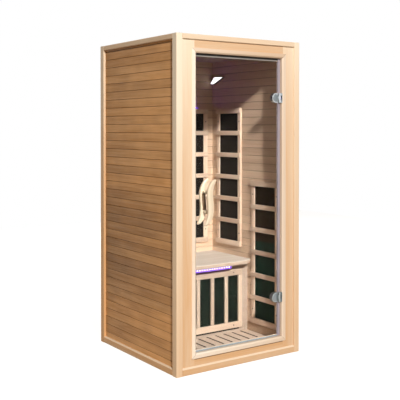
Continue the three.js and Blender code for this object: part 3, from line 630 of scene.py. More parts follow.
@dataclass(frozen=True)
class BoardRow:
    """Where the joints of a boarded face lie, how long its pieces are and how they differ.

    joint is the darkness of the joints and of shadow painted along them, spread how much
    the boards differ in tone, patch how much the tone changes along each of them, and fade how much
    it loses for each metre along them.
    shade_band is the low and the high edge of a band of boards painted darker as shade, and how
    much darker they are.
    gap is half the width of a joint's dark band, which on the slats is widened into painted shadow
    along the slots, and reach where along the boards the joints start and end.
    """

    first: float
    pitch: float
    run: float
    joint: float
    spread: float
    patch: float = 0.3
    fade: float = 0.0
    shade_band: Triple | None = None
    gap: float = 0.0006
    reach: Pair | None = None


@dataclass(frozen=True)
class PaintedLightSplit:
    """Painted light or shade: a height at which a finish turns towards another colour,
    above it or below it.
    """

    height: float
    colour: Triple
    share: float
    above: bool = False

    def tinted(self, painter: Painter, colour: Wire) -> Wire:
        """Turns a colour towards the other one, as painted light or shade.

        Args:
            painter: The material's nodes.
            colour: The finish's own colour.

        Returns:
            The colour on both sides of the height.
        """
        height = painter.parts(painter.place())[2]
        ends = (0.0, self.share) if self.above else (self.share, 0.0)
        mask = height.remap(self.height - PAINTED_SPLIT_BLUR, self.height, *ends)
        return painter.mix(mask, colour, self.colour)


def scaled(colour: Triple, share: float) -> Triple:
    """A colour made lighter or darker, no lighter than white."""
    return tuple(min(1.0, part * share) for part in colour)


@dataclass(frozen=True)
class Finish:
    """A finish, whose material is made when it is first asked for."""

    name: str

    @cache
    def material(self) -> bpy.types.Material:
        """Makes the material once.

        Returns:
            The same material each time.
        """
        painter = Painter(self.name)
        self.paint(painter)
        return painter.material

    def paint(self, painter: Painter) -> None:
        """Adds the finish's own nodes to its material."""
        raise NotImplementedError


@dataclass(frozen=True)
class WoodFinish(Finish):
    """Planed wood: a pale and a deep colour, and how strongly the growth rings show.

    contrast scales the whole grain, warmth turns planks of a low tone deeper, rise is how much the
    tone gains for each metre of height, as painted light that makes the wood paler towards the top
    and deeper towards the foot, and casing_shadow is the distance under the door opening of a dark
    line painted as the casing's shadow. tone goes from 0 for a dark plank to 1 for a pale one.
    """

    pale: Triple
    deep: Triple
    figure: float
    row: BoardRow | None = None
    contrast: float = 1.0
    warmth: float = 0.0
    rise: float = 0.0
    painted_light_split: PaintedLightSplit | None = None
    casing_shadow: float | None = None
    layout: Layout = Layout.OWN
    tone: float = 0.5

    def laid(self, layout: Layout, tone: float = 0.5) -> WoodFinish:
        """The same wood with its fibres laid in one way, on a plank of one tone."""
        label = f"{self.name}_{layout.value}_{round(tone * 100)}"
        return replace(self, name=label, layout=layout, tone=tone)

    def paint(self, painter: Painter) -> None:
        """Adds grain, and dark joints, painted shadow lines and painted light or shade at a height,
        where the wood has them.

        Args:
            painter: The material's nodes.
        """
        vector, tone, joint = self._fibres(painter)
        inputs = {"Vector": vector, "Tone": tone, "Pale": self.pale, "Deep": self.deep}
        inputs |= {"Figure": self.figure, "Contrast": self.contrast, "Warmth": self.warmth}
        grain = painter.group(grain_group(), inputs)
        colour = grain["Color"]
        if joint is not None:
            colour = painter.mix(joint, colour, JOINT_AND_SHADOW_COLOUR)
        if self.painted_light_split is not None:
            colour = self.painted_light_split.tinted(painter, colour)
        normal = painter.bump(grain["Height"], *WOOD_RELIEF)
        painter.shade({"Base Color": colour, "Roughness": grain["Roughness"], "Normal": normal})
        painter.shade({"Specular IOR Level": WOOD_GLOSS})

    def _fibres(self, painter: Painter) -> tuple[Wire, Wire, Wire | None]:
        """Lays the fibres.

        Args:
            painter: The material's nodes.

        Returns:
            Wood coordinates, tone and, where there are joints or painted shadow lines, a mask for them.
        """
        if self.layout is Layout.OWN:
            grain = painter.wire("ShaderNodeAttribute", None, "Vector", attribute_name="grain")
            return grain, painter.wire("ShaderNodeAttribute", None, "Fac", attribute_name="tone"), None
        place = painter.place()
        axes = x, y, z = painter.parts(place)
        slow = (painter.noise(place, 1.1, 0.0) - 0.5) * SLOW_CHANGE + self.tone
        # Painted light: the tone rises with height, so the wood is paler near the top, deeper near the
        # foot.
        slow = (z - MID_HEIGHT) * self.rise + slow
        if self.layout is Layout.MITRED:
            return self._mitred(painter, x, y, z, slow)
        along, across, depth = (axes[number] for number in FIBRE_AXES[self.layout])
        if self.row is not None:
            return self._boarded(painter, along, across, depth, slow)
        # A dark line under the door opening, painted as the casing's shadow.
        joint = None if self.casing_shadow is None else self._casing_shadowed(x, z)
        return painter.combined(along + self.tone * PLANK_SHIFT, across, depth), slow, joint

    def _casing_shadowed(self, x: Wire, z: Wire) -> Wire:
        """A mask for a dark line painted under the casing as its shadow, no wider than the casing is.
        """
        side, level = DOORWAY.outside(x, z)
        return abs(level - self.casing_shadow).remap(*CASING_SHADOW_LINE) * (side < self.casing_shadow)

    def _mitred(
        self, painter: Painter, x: Wire, y: Wire, z: Wire, slow: Wire
    ) -> tuple[Wire, Wire, Wire]:
        """Lays fibres along each side of the door casing, with painted shade on its head and to the
        right.

        Args:
            painter: The material's nodes.
            x: Place across the front.
            y: Place through it.
            z: Height.
            slow: The slow change of tone.

        Returns:
            Wood coordinates, tone and a mask for the mitres.
        """
        side, level = DOORWAY.outside(x, z)
        lead = side - level
        upright = lead > 0.0
        ways = {0: upright, 4: painter.combined(x, z, y), 5: painter.combined(z, x, y)}
        vector = painter.wire("ShaderNodeMix", ways, 1, data_type="VECTOR")
        # Painted shade: the casing's head, and its right side, get less light and are darker.
        head = ((z > (DOORWAY.low + DOORWAY.high) / 2) - upright).most(0.0)
        return vector, slow - (x + head) * CASING_PAINTED_SHADE, abs(lead).remap(*MITRE_LINE)

    def _boarded(
        self, painter: Painter, along: Wire, across: Wire, depth: Wire, slow: Wire
    ) -> tuple[Wire, Wire, Wire]:
        """Lays boards side by side, each with a tone and a shift of its own.

        Args:
            painter: The material's nodes.
            along: Place along the boards.
            across: Place across them.
            depth: Place through them.
            slow: The slow change of tone.

        Returns:
            Wood coordinates, tone and a mask for the joints and the shadow painted along them.
        """
        row = self.row
        inputs = {"Along": along, "Across": across}
        inputs |= {"First": row.first, "Pitch": row.pitch, "Run": row.run}
        boards = painter.group(boards_group(), inputs)
        vector = painter.vector("ADD", painter.combined(along, across, depth), boards["Shift"])
        joint = boards["Edge"].remap(row.gap, row.gap + JOINT_BLUR, row.joint, 0.0)
        if row.reach is not None:
            joint = joint * (along > row.reach[0]) * (along < row.reach[1])
        patch = painter.noise(vector, (5.0, 4.0, 4.0), 2.0) - 0.5
        slow = patch * row.patch + slow - along * row.fade
        # A band of boards painted darker as shade, between two heights.
        if row.shade_band is not None:
            *edges, darker = row.shade_band
            low, high = (across.remap(end - SHADE_BAND_BLUR, end + SHADE_BAND_BLUR, 0.0, darker) for end in edges)
            slow = slow - low + high
        return vector, (boards["Tone"] - 0.5) * row.spread + slow, joint


@dataclass(frozen=True)
class PlainFinish(Finish):
    """Moulded plastic, rubber or coated sheet: a colour that a fine mottle varies."""

    colour: Triple
    roughness: float
    mottle: float = 0.12
    size: float = 0.0015
    relief: float = 0.0001
    gloss: float = 0.5
    painted_light_split: PaintedLightSplit | None = None

    def paint(self, painter: Painter) -> None:
        """Adds a broad change of colour and a fine one of roughness and height.

        Args:
            painter: The material's nodes.
        """
        place = painter.place()
        fine = painter.noise(place, 1.0 / self.size, 2.0)
        broad = painter.noise(place, 9.0, 2.0).remap(*NOISE_RANGE)
        colour = painter.mix(broad, *(scaled(self.colour, 1 + way * self.mottle) for way in (-1, 1)))
        if self.painted_light_split is not None:
            colour = self.painted_light_split.tinted(painter, colour)
        rough = fine.remap(*NOISE_RANGE, self.roughness * 0.85, self.roughness * 1.15)
        painter.shade({"Base Color": colour, "Roughness": rough, "Specular IOR Level": self.gloss})
        painter.shade({"Normal": painter.bump(fine, 0.3, self.relief)})


@dataclass(frozen=True)
class MetalFinish(Finish):
    """Polished metal whose roughness varies from low to high, as after handling."""

    colour: Triple
    low: float
    high: float

    def paint(self, painter: Painter) -> None:
        """Adds smears to the metal.

        Args:
            painter: The material's nodes.
        """
        smear = painter.noise(painter.place(), 60.0, 3.0)
        colour = painter.mix(smear.remap(0.35, 0.75), self.colour, scaled(self.colour, 0.92))
        rough = smear.remap(*NOISE_RANGE, self.low, self.high)
        painter.shade({"Base Color": colour, "Roughness": rough, "Metallic": 1.0})


@dataclass(frozen=True)
class GlowFinish(Finish):
    """A lit plastic surface whose light is stronger in places."""

    colour: Triple
    glow: Triple
    strength: float
    variation: float = 0.25

    def paint(self, painter: Painter) -> None:
        """Adds the plastic and its uneven light.

        Args:
            painter: The material's nodes.
        """
        cloud = painter.noise(painter.place(), 40.0, 1.0)
        glow = painter.mix(cloud.remap(*NOISE_RANGE), scaled(self.glow, 1 - self.variation), self.glow)
        colour = painter.mix(cloud, self.colour, self.glow)
        painter.shade({"Base Color": colour, "Roughness": 0.4})
        painter.shade({"Emission Color": glow, "Emission Strength": self.strength})


@dataclass(frozen=True)
class GlassFinish(Finish):
    """Clear toughened glass, which lamps shine through."""

    tint: Triple
    bend: float

    def paint(self, painter: Painter) -> None:
        """Adds glass with a little haze, and nothing in the way of a lamp's rays.

        Args:
            painter: The material's nodes.
        """
        haze = painter.noise(painter.place(), 6.0, 3.0).remap(0.4, 0.8, 0.0, 0.02)
        painter.shade({"Base Color": self.tint, "Roughness": haze})
        painter.shade({"Transmission Weight": 1.0, "IOR": self.bend})
        lamp_ray = painter.wire("ShaderNodeLightPath", None, "Is Shadow Ray")
        clear = painter.wire("ShaderNodeBsdfTransparent")
        painter.show("ShaderNodeMixShader", lamp_ray, Wire(painter, painter.shader.outputs[0]), clear)


# rise paints light: the trim turns paler towards the top and deeper towards the foot.
TRIM = WoodFinish(
    "trim_wood", (0.9, 0.765, 0.594), (0.77, 0.435, 0.2), 0.35, contrast=0.4, warmth=1.0, rise=0.3
)
# A dark line under the casing on the sill: painted shadow of the casing.
SILL = replace(TRIM, name="sill_wood", casing_shadow=0.0325)
# Paler above 34.5 mm: a painted highlight on the top bevel of the bottom rails.
RAIL = replace(TRIM, name="rail_wood", painted_light_split=PaintedLightSplit(0.0345, (0.95, 0.83, 0.66), 0.6, above=True))
CASING = replace(TRIM, name="casing_wood", pale=(0.95, 0.83, 0.7), deep=(0.82, 0.6, 0.42), rise=0.1)
GUARD = WoodFinish("guard_wood", (0.82, 0.67, 0.53), (0.69, 0.49, 0.365), 0.35)
CALF = WoodFinish("calf_guard_wood", (0.68, 0.55, 0.435), (0.58, 0.44, 0.33), 0.35)
WHOLE = 1000.0  # a run so long that a board is never cut
# Boards from .36 to 1 m high are darker: painted shade between the lit top and the bounce-lit foot.
CLADDING = WoodFinish(
    "cladding_wood",
    (0.77, 0.42, 0.175),
    (0.54, 0.26, 0.085),
    0.4,
    BoardRow(0.073, 0.051, WHOLE, 0.45, 0.8, 1.4, 1.0, (0.36, 1.0, 0.95)),
    contrast=1.25,
)
LINING = WoodFinish(
    "lining_wood",
    (0.76, 0.59, 0.435),
    (0.6, 0.42, 0.295),
    0.4,
    BoardRow(0.097, 0.05, WHOLE, 0.5, 0.4),
    # Darker below 97 mm: painted shade at the foot of the walls.
    painted_light_split=PaintedLightSplit(0.097, (0.38, 0.25, 0.16), 0.75),
)
# A darker copy of the lining for the left wall: painted shade.
SHADED_LINING = replace(
    LINING,
    name="left_lining_wood",
    pale=(0.54, 0.4, 0.31),
    deep=(0.43, 0.31, 0.23),
    row=BoardRow(0.097, 0.05, WHOLE, 0.6, 0.4),
    painted_light_split=None,
)
# A darker wood for the ceiling: painted shade in the top of the room.
SHADED_CEILING = WoodFinish(
    "ceiling_wood", (0.46, 0.35, 0.28), (0.36, 0.26, 0.2), 0.4, BoardRow(0.0, 0.05, 1.6, 0.6, 0.6)
)
BASE = WoodFinish("base_wood", (0.1, 0.065, 0.04), (0.07, 0.042, 0.024), 0.4)
# Darker below the seat's top: painted shade on its nose and underside.
SEAT_NOSE_SHADE = PaintedLightSplit(0.5145, (0.62, 0.46, 0.34), 0.75)
BENCH = WoodFinish("bench_wood", (0.82, 0.775, 0.715), (0.67, 0.6, 0.515), 0.3, painted_light_split=SEAT_NOSE_SHADE)
KNEE = WoodFinish("knee_wood", (0.58, 0.48, 0.4), (0.48, 0.375, 0.3), 0.3)
# Wide dark joint bands and dark slot sides below the slats' top: painted shade in the slots.
SLATS = WoodFinish(
    "slat_wood",
    (0.81, 0.68, 0.56),
    (0.67, 0.525, 0.405),
    0.3,
    BoardRow(-0.4025, 0.06708, WHOLE, 0.85, 0.6, gap=0.0062, reach=(-0.186, -0.002)),
    painted_light_split=PaintedLightSplit(0.0459, (0.09, 0.055, 0.033), 1.0),
)
HANDLE = WoodFinish("handle_wood", (0.9, 0.78, 0.61), (0.81, 0.65, 0.45), 0.4)
# A dark sheet on the glass side of each handle: painted shade.
GRIP_SHADE = PlainFinish("grip_leather", (0.19, 0.125, 0.078), 0.6, 0.12, 0.002, gloss=0.15)
GLASS = GlassFinish("pane_glass", (0.93, 0.925, 0.915), 1.08)
CHROME = MetalFinish("polished_chrome", (0.6, 0.63, 0.65), 0.24, 0.34)
# A darker copy of the chrome for the lower hinge: painted shade.
SHADED_CHROME = MetalFinish("dull_chrome", (0.36, 0.4, 0.41), 0.26, 0.38)
BRUSHED = MetalFinish("brushed_plate", (0.25, 0.28, 0.29), 0.28, 0.36)
SCREW_STEEL = MetalFinish("screw_steel", (0.16, 0.14, 0.12), 0.3, 0.45)
HEATER = PlainFinish("heating_sheet", (0.0075, 0.014, 0.0095), 0.5, 0.3, 0.002, 0.00015, 0.15)
# Brown above 645 mm: a painted reflection of warm wood on the front panels' sheet.
FRONT_HEATER = replace(
    HEATER,
    name="front_heating_sheet",
    colour=(0.006, 0.022, 0.014),
    gloss=0.05,
    painted_light_split=PaintedLightSplit(0.645, (0.024, 0.0155, 0.0085), 1.0, above=True),
)
# A browner copy of the sheet for the rear panels: painted reflection of warm wood.
REAR_HEATER = replace(HEATER, name="rear_heating_sheet", colour=(0.015, 0.0125, 0.0105))
SEAL = PlainFinish("door_seal", (0.36, 0.32, 0.37), 0.35, 0.08, 0.004)
DRIP_SEAL = replace(SEAL, name="drip_seal", colour=(0.36, 0.42, 0.47))
# A grey strip under the head seal: painted highlight where the pane's top edge catches light.
PANE_EDGE_HIGHLIGHT = replace(SEAL, name="head_lip", colour=(0.27, 0.25, 0.23))
RUBBER = PlainFinish("black_rubber", (0.02, 0.017, 0.016), 0.5, 0.1, 0.002, gloss=0.2)
BLACK = PlainFinish("black_housing", (0.014, 0.0145, 0.016), 0.42, 0.15, 0.0009)
KEY = PlainFinish("grey_keycap", (0.52, 0.54, 0.57), 0.45, 0.06, 0.0009)
SYMBOL = PlainFinish("symbol_ink", (0.05, 0.052, 0.06), 0.5, 0.1, 0.0006)
SCREEN = PlainFinish("display_screen", (0.006, 0.008, 0.012), 0.1, 0.2, 0.003, 0.00002)
LED = GlowFinish("violet_strip", (0.3, 0.16, 0.8), (0.23, 0.1, 0.7), 0.65)
BACK_LED = GlowFinish("violet_wall_strip", (0.3, 0.16, 0.8), (0.24, 0.1, 0.9), 0.9)
WALL_CHIP = GlowFinish("led_wall_chip", (0.4, 0.25, 0.9), (0.26, 0.1, 0.9), 55.0, 0.1)
CHIP = GlowFinish("led_chip", (0.9, 0.87, 1.0), (0.92, 0.88, 1.0), 3.5, 0.1)
LAMP = GlowFinish("lamp_glow", (0.95, 0.95, 0.95), (1.0, 0.97, 0.95), 1.7, 0.05)
LAMP_RIM = PlainFinish("lamp_rim", (0.05, 0.036, 0.028), 0.5, 0.1)
DIGIT = GlowFinish("display_digit", (0.9, 0.35, 0.1), (1.0, 0.32, 0.08), 2.0, 0.1)


# Pieces


def linked(name: str, data: bpy.types.ID) -> bpy.types.Object:
    """Makes an object of a mesh, a lamp or a camera, and puts it into the scene.

    Args:
        name: Name of the object.
        data: What it shows.

    Returns:
        The new object.
    """
    made = bpy.data.objects.new(name, data)
    bpy.context.scene.collection.objects.link(made)
    return made


def piece(
    name: str, surface: Surface, finish: Finish, body: str, stands_for: str | None = None
) -> None:
    """Makes one piece of the visual model and lets it ride on a body.

    Args:
        name: Name of the piece.
        surface: Its shape, in place.
        finish: Its finish.
        body: The body that it moves with.
        stands_for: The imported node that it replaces, if it does.
    """
    mesh = bpy.data.meshes.new(name)
    faces = surface.quads.tolist() + [cap.tolist() for cap in surface.caps]
    mesh.from_pydata(surface.points.tolist(), [], faces)
    rows = (("grain", "FLOAT_VECTOR", "vector"), ("tone", "FLOAT", "value"))
    for (label, kind, key), values in zip(rows, (surface.grain, surface.tone)):
        if values is not None:
            data = mesh.attributes.new(label, kind, "POINT").data
            data.foreach_set(key, values.astype(np.float32).ravel())
    mesh.polygons.foreach_set("use_smooth", np.ones(len(mesh.polygons), bool))
    mesh.set_sharp_from_angle(angle=SHARP_EDGE)
    mesh.materials.append(finish.material())
    mesh.update()
    made = linked(name, mesh)
    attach(made, body)
    if stands_for:
        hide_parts(stands_for)
    LOG.info("%s: %d points on %s", name, len(surface.points), body)


def corners(node: str) -> tuple[np.ndarray, np.ndarray]:
    """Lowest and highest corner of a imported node."""
    low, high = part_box(node)
    return np.array(low), np.array(high)


@dataclass
class Assembly:
    """One part of the cabin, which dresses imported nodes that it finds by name."""

    nodes: dict[str, bpy.types.Object]

    def dress(self, finish: Finish, *names: str) -> None:
        """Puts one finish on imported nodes.

        Args:
            finish: The finish.
            *names: The nodes to dress.
        """
        for name in names:
            slots = self.nodes[name].data.materials
            slots.clear()
            slots.append(finish.material())
            LOG.info("%s: %s", name, finish.name)


Plank = tuple[str, WoodFinish, Layout, float]


@dataclass
class Woodwork(Assembly):
    """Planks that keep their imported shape: node, wood, lie of the fibres and tone of each."""

    planks: tuple[Plank, ...] = ()

    def build(self) -> None:
        """Lays wood on every plank."""
        for node, wood, layout, tone in self.planks:
            self.dress(wood.laid(layout, tone), node)


@dataclass
class Shell(Woodwork):
    """Posts, rails, boarded walls, roof and front."""

    planks: tuple[Plank, ...] = (
        ("front_left_post", TRIM, Layout.ALONG_Z, 0.72),
        ("front_right_post", TRIM, Layout.ALONG_Z, 0.6),
        ("rear_left_post", TRIM, Layout.ALONG_Z, 0.3),
        ("rear_right_post", TRIM, Layout.ALONG_Z, 0.5),
        ("front_left_stile", TRIM, Layout.ALONG_Z, 0.52),
        ("front_right_stile", TRIM, Layout.ALONG_Z, 0.42),
        ("front_header", TRIM, Layout.ALONG_X, -0.04),
        ("front_sill", SILL, Layout.ALONG_X, 0.36),
        ("front_bottom_rail", RAIL, Layout.ALONG_X, 0.34),
        ("left_bottom_rail", RAIL, Layout.ALONG_Y, 0.45),
        ("right_bottom_rail", RAIL, Layout.ALONG_Y, 0.5),
        ("front_top_rail", TRIM, Layout.ALONG_X, 0.3),
        ("left_top_rail", TRIM, Layout.ALONG_Y, 0.1),
        ("right_top_rail", TRIM, Layout.ALONG_Y, 0.2),
        ("door_casing", CASING, Layout.MITRED, 0.58),
        ("left_wall_cladding", CLADDING, Layout.SIDE_BOARDS, 0.5),
        ("right_wall_cladding", CLADDING, Layout.SIDE_BOARDS, 0.5),
        ("back_wall_cladding", CLADDING, Layout.BACK_BOARDS, 0.5),
        ("left_wall_lining", SHADED_LINING, Layout.SIDE_BOARDS, 0.5),
        ("right_wall_lining", LINING, Layout.SIDE_BOARDS, 0.5),
        # The back wall lining is on a paler tone: painted light where it faces the key lamp.
        ("back_wall_lining", LINING, Layout.BACK_BOARDS, 0.85),
        ("roof_panel", SHADED_CEILING, Layout.ROOF_BOARDS, 0.5),
        ("base_panel", BASE, Layout.ALONG_X, 0.5),
    )


@dataclass
class Bench(Woodwork):
    """Seat, board below it and floor board."""

    planks: tuple[Plank, ...] = (
        ("bench_seat", BENCH, Layout.ALONG_X, 0.6),
        ("bench_front_board", KNEE, Layout.ALONG_X, 0.5),
        ("duckboard", SLATS, Layout.ROOF_BOARDS, 0.5),
    )


class Wall(Enum):
    """The face that a guard hangs on: its level direction and the way into the room."""

    LEFT = ((0, 1, 0), (1, 0, 0))
    RIGHT = ((0, 1, 0), (-1, 0, 0))
    BACK = ((1, 0, 0), (0, -1, 0))

    def axes(self) -> np.ndarray:
        """Directions of across, up and into the room."""
        across, out = self.value
        return np.array([across, Z, out], float)


@dataclass
class Guard:
    """A wooden grille over a heating panel, made of separate boards with eased edges.

    The tones are the lowest one of such boards and how much more others may have. The screws sit
    at shares of the stile's and the rail's width from the corners.
    """

    node: str
    wall: Wall
    columns: int = 1
    rows: int = 6
    stile: float = 0.032
    rail: float = 0.034
    bar: float = 0.03
    thickness: float = 0.02
    rung: float = 0.009
    bar_recess: float = 0.0009
    ease: float = 0.0016
    pocket: float = 0.005
    seam: float = 0.0001
    screw: Pair = (0.0042, 0.0016)
    ladder_screws: Pair = (0.5, 2.6)
    grate_screws: Pair = (2.4, 0.5)
    upright_tones: Pair = (0.75, 0.25)
    rung_tones: Pair = (0.1, 0.5)
    rail_tones: Pair = (0.5, 0.5)
    bar_tones: Pair = (0.4, 0.6)
    seed: int = 1
    finish: WoodFinish = GUARD

    def __post_init__(self) -> None:
        """Takes the grille's axes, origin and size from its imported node."""
        low, high = corners(self.node)
        self.axes = self.wall.axes()
        self.origin = np.where(self.axes[2] < 0, high, low)
        self.width, self.height, _ = np.abs(self.axes @ (high - low))

    def spans(self, whole: float, edge: float, count: int) -> list[Pair]:
        """Bars with equal openings between them.

        Args:
            whole: Width that they fill.
            edge: Width of the first and the last bar.
            count: Number of openings.

        Returns:
            Start and width of each bar.
        """
        cell = (whole - 2 * edge - (count - 1) * self.bar) / count
        starts = [edge + cell + step * (cell + self.bar) for step in range(count)]
        inner = [(start, self.bar) for start in starts[:-1]]
        return [(0.0, edge), *inner, (starts[-1], edge)]

    def ladder(self) -> list[Surface]:
        """Boards of a ladder: rungs laid across two paler uprights.

        Returns:
            The uprights and the rungs.
        """
        draw = np.random.default_rng(self.seed).random(2 + self.rows + 1)
        back = self.thickness - self.rung
        uprights = [
            ((start, 0, 0), (start + wide, self.height, back - self.seam), 1, self.upright_tones)
            for start, wide in self.spans(self.width, self.stile, 1)
        ]
        rungs = [
            ((0, low, back), (self.width, low + tall, self.thickness), 0, self.rung_tones)
            for low, tall in self.spans(self.height, self.rail, self.rows)
        ]
        return self.boards(uprights + rungs, draw)

    def grate(self) -> list[Surface]:
        """Boards of the calf grille: upright bars between two rails.

        Returns:
            The rails and the bars.
        """
        draw = np.random.default_rng(self.seed).random(2 + self.columns + 1)
        foot, face = self.rail + self.seam, self.thickness - self.bar_recess
        rails = [
            ((0, low, self.pocket), (self.width, low + tall, self.thickness), 0, self.rail_tones)
            for low, tall in self.spans(self.height, self.rail, 1)
        ]
        bars = [
            ((start, foot, self.pocket), (start + wide, self.height - foot, face), 1, self.bar_tones)
            for start, wide in self.spans(self.width, self.stile, self.columns)
        ]
        return self.boards(rails + bars, draw)

    def boards(self, places: list[tuple], draw: np.ndarray) -> list[Surface]:
        """Boards with tones of their own.

        Args:
            places: Low corner, high corner, axis of the fibres and tones of each.
            draw: A number from 0 to 1 for each.

        Returns:
            The boards.
        """
        return [
            board(low, high, along, self.ease, tones[0] + tones[1] * share)
            for (low, high, along, tones), share in zip(places, draw)
        ]

    def screws(self) -> Surface:
        """A screw near each end of a ladder's uprights, or of the grate's rails.

        Returns:
            The screw heads, in the grille's own frame.
        """
        ladder = self.columns == 1
        shares = self.ladder_screws if ladder else self.grate_screws
        inset, rise = np.multiply(shares, (self.stile, self.rail))
        level = self.thickness - self.rung if ladder else self.thickness
        head = cross_screw(*self.screw).placed(Z_AXES, (0, 0, level - 2 * self.seam))
        spots = [(u, v, 0) for u in (inset, self.width - inset) for v in (rise, self.height - rise)]
        return joined([head.placed(Z_AXES, spot) for spot in spots])

    def build(self) -> None:
        """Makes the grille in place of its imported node, with its screws."""
        grille = joined(self.ladder() if self.columns == 1 else self.grate())
        boards, screws = (part.placed(self.axes, self.origin) for part in (grille, self.screws()))
        wood = self.finish.laid(Layout.OWN)
        piece(self.node + "_boards", boards, wood, CABIN, self.node)
        piece(self.node + "_screws", screws, SCREW_STEEL, CABIN)


@dataclass
class Heaters(Assembly):
    """Seven heating panels behind their guards.

    calf_bars holds the widths of the calf guard's stiles, rails and bars.
    """

    ladders: tuple[tuple[str, Wall], ...] = (
        ("back_left", Wall.BACK),
        ("back_right", Wall.BACK),
        ("left_rear", Wall.LEFT),
        ("left_front", Wall.LEFT),
        ("right_rear", Wall.RIGHT),
        ("right_front", Wall.RIGHT),
    )
    first_seed: int = 11
    calf_seed: int = 31
    calf_columns: int = 6
    calf_bars: Triple = (0.03, 0.04, 0.024)

    def build(self) -> None:
        """Makes the guards and dresses the panels."""
        for number, (name, wall) in enumerate(self.ladders):
            Guard(name + "_guard", wall, seed=self.first_seed + number).build()
            self.dress(FRONT_HEATER if name.endswith("front") else REAR_HEATER, name + "_heater")
        sizes = (self.calf_columns, 1, *self.calf_bars)
        Guard("calf_guard", Wall.BACK, *sizes, seed=self.calf_seed, finish=CALF).build()
        self.dress(HEATER, "calf_heater")


@dataclass
class Handle:
    """One of the pair of wave-shaped door handles: side is -1 outside and 1 inside.

    closing is the share of the length after which the ends close, and how soon. foot holds the
    heights between which a stud narrows from its flare, and sunk how far it stops short of the
    bar's middle line. lining is how far the dark sheet of painted shade goes into the bar and out
    of it, shade_sheet_gap its distance from the studs, and shade_sheet_turn where it starts and
    ends round the section, in half turns.
    """

    node: str
    side: int
    middle: Pair = (-0.23, 0.956)
    length: float = 0.26
    sweep: float = 0.033
    wave: float = 0.014
    width: float = 0.038
    depth: float = 0.0238
    tip: float = 0.52
    closing: Pair = (0.94, 0.0605)
    glass: Pair = (-0.425, -0.417)
    glass_gap: float = 0.0003
    standoff: float = 0.038
    boss: float = 0.009
    flare: float = 0.01125
    foot: Pair = (0.002, 0.005)
    sunk: float = 0.004
    bolt_spacing: float = 0.116
    lining: Pair = (-0.001, 0.0005)
    shade_sheet_gap: float = 0.001
    shade_sheet_turn: Pair = (-0.64, -0.13)
    grain_shift: Pair = (0.3, 0.7)
    tones: Pair = (0.55, 0.5)

    def line(self, t: np.ndarray) -> np.ndarray:
        """Sideways place x = middle + sweep * t**3 - wave * t * (1 - t**2)."""
        return self.middle[0] + self.sweep * t**3 - self.wave * t * (1 - t**2)

    def centre(self) -> float:
        """Place of the bar's middle line in front of or behind the glass."""
        return sum(self.glass) / 2 + self.side * self.standoff

    def swept(
        self, t: np.ndarray, angle: np.ndarray, share: Any = 1.0, lift: Any = 0.0
    ) -> tuple[np.ndarray, np.ndarray]:
        """A superellipse of power 10/3 carried along the wave, smaller towards its tips.

        Its points are cos and sin of the angle to the power .6, with their signs kept, times half
        the width and half the depth.

        Args:
            t: Places along the wave from -1 to 1, as (stations, 1).
            angle: Angles round the section.
            share: Further share of the section's size at each station.
            lift: How far each point is moved out of the section.

        Returns:
            Rings of points, and the same along, across and through the wood.
        """
        taper = np.sqrt(1 - (1 - self.tip**2) * t**4) * share
        u, v = (
            np.sign(wave) * np.abs(wave) ** 0.6 * (size / 2 * taper + lift)
            for wave, size in ((np.cos(angle), self.width), (np.sin(angle), self.depth))
        )
        z = np.broadcast_to(self.middle[1] + t * self.length / 2, u.shape)
        rings = np.stack([self.line(t) + u, self.centre() + v, z], -1)
        return rings, np.stack([z, u + self.side * self.grain_shift[0], v], -1)

    def bar(self) -> Surface:
        """The whole section carried along the wave, which closes at its tips.

        Returns:
            The bar, with wood coordinates that follow the wave.
        """
        t = np.sin(np.linspace(-np.pi / 2, np.pi / 2, 61))[:, None]
        start, reach = self.closing
        close = np.sqrt(np.clip(1 - np.clip((np.abs(t) - start) / reach, 0, 1) ** 2, 0.01, 1))
        angle = np.arange(ROUND_POINTS) * 2 * np.pi / ROUND_POINTS
        rings, wood = self.swept(t, angle, close)
        return tube(rings).wooden(wood.reshape(-1, 3), self.tones[0])

    def bosses(self) -> Surface:
        """Two short round studs from the bar to the glass, with a flared foot.

        Returns:
            The studs.
        """
        face = self.glass[0] - self.glass_gap if self.side < 0 else self.glass[1] + self.glass_gap
        radii = (self.flare, self.flare, self.boss, self.boss)
        stud = turned(list(zip(radii, (0.0, *self.foot, abs(self.centre() - face) - self.sunk))))
        stud = stud.wooden(stud.points + self.grain_shift[1], self.tones[1])
        axes = MINUS_Y_AXES if self.side < 0 else Y_AXES
        t = np.array([-1, 1]) * self.bolt_spacing / self.length
        places = zip(self.line(t), self.middle[1] + t * self.length / 2)
        return joined([stud.placed(axes, (x, face, z)) for x, z in places])

    def grip(self) -> Surface:
        """A thin dark sheet of painted shade on the bar's side towards the glass: part of its section,
        moved in and out.

        Returns:
            The sheet, which follows the wave from one stud to the other.
        """
        reach = (self.bolt_spacing / 2 - self.boss - self.shade_sheet_gap) / (self.length / 2)
        t = np.linspace(-reach, reach, 41)[:, None]
        turn = np.linspace(*self.shade_sheet_turn, 13) * np.pi
        angle = self.side * np.concatenate([turn, turn[::-1]])[:: self.side]
        lift = np.repeat(self.lining[::-1], len(turn))[:: self.side]
        return tube(self.swept(t, angle, lift=lift)[0])

    def build(self) -> None:
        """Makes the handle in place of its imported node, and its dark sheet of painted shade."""
        shape = joined([self.bar(), self.bosses()])
        piece(self.node + "_wave", shape, HANDLE.laid(Layout.OWN), DOOR, self.node)
        # A dark sheet of painted shade on the bar's glass side.
        piece(self.node + "_lining", self.grip(), GRIP_SHADE, DOOR)


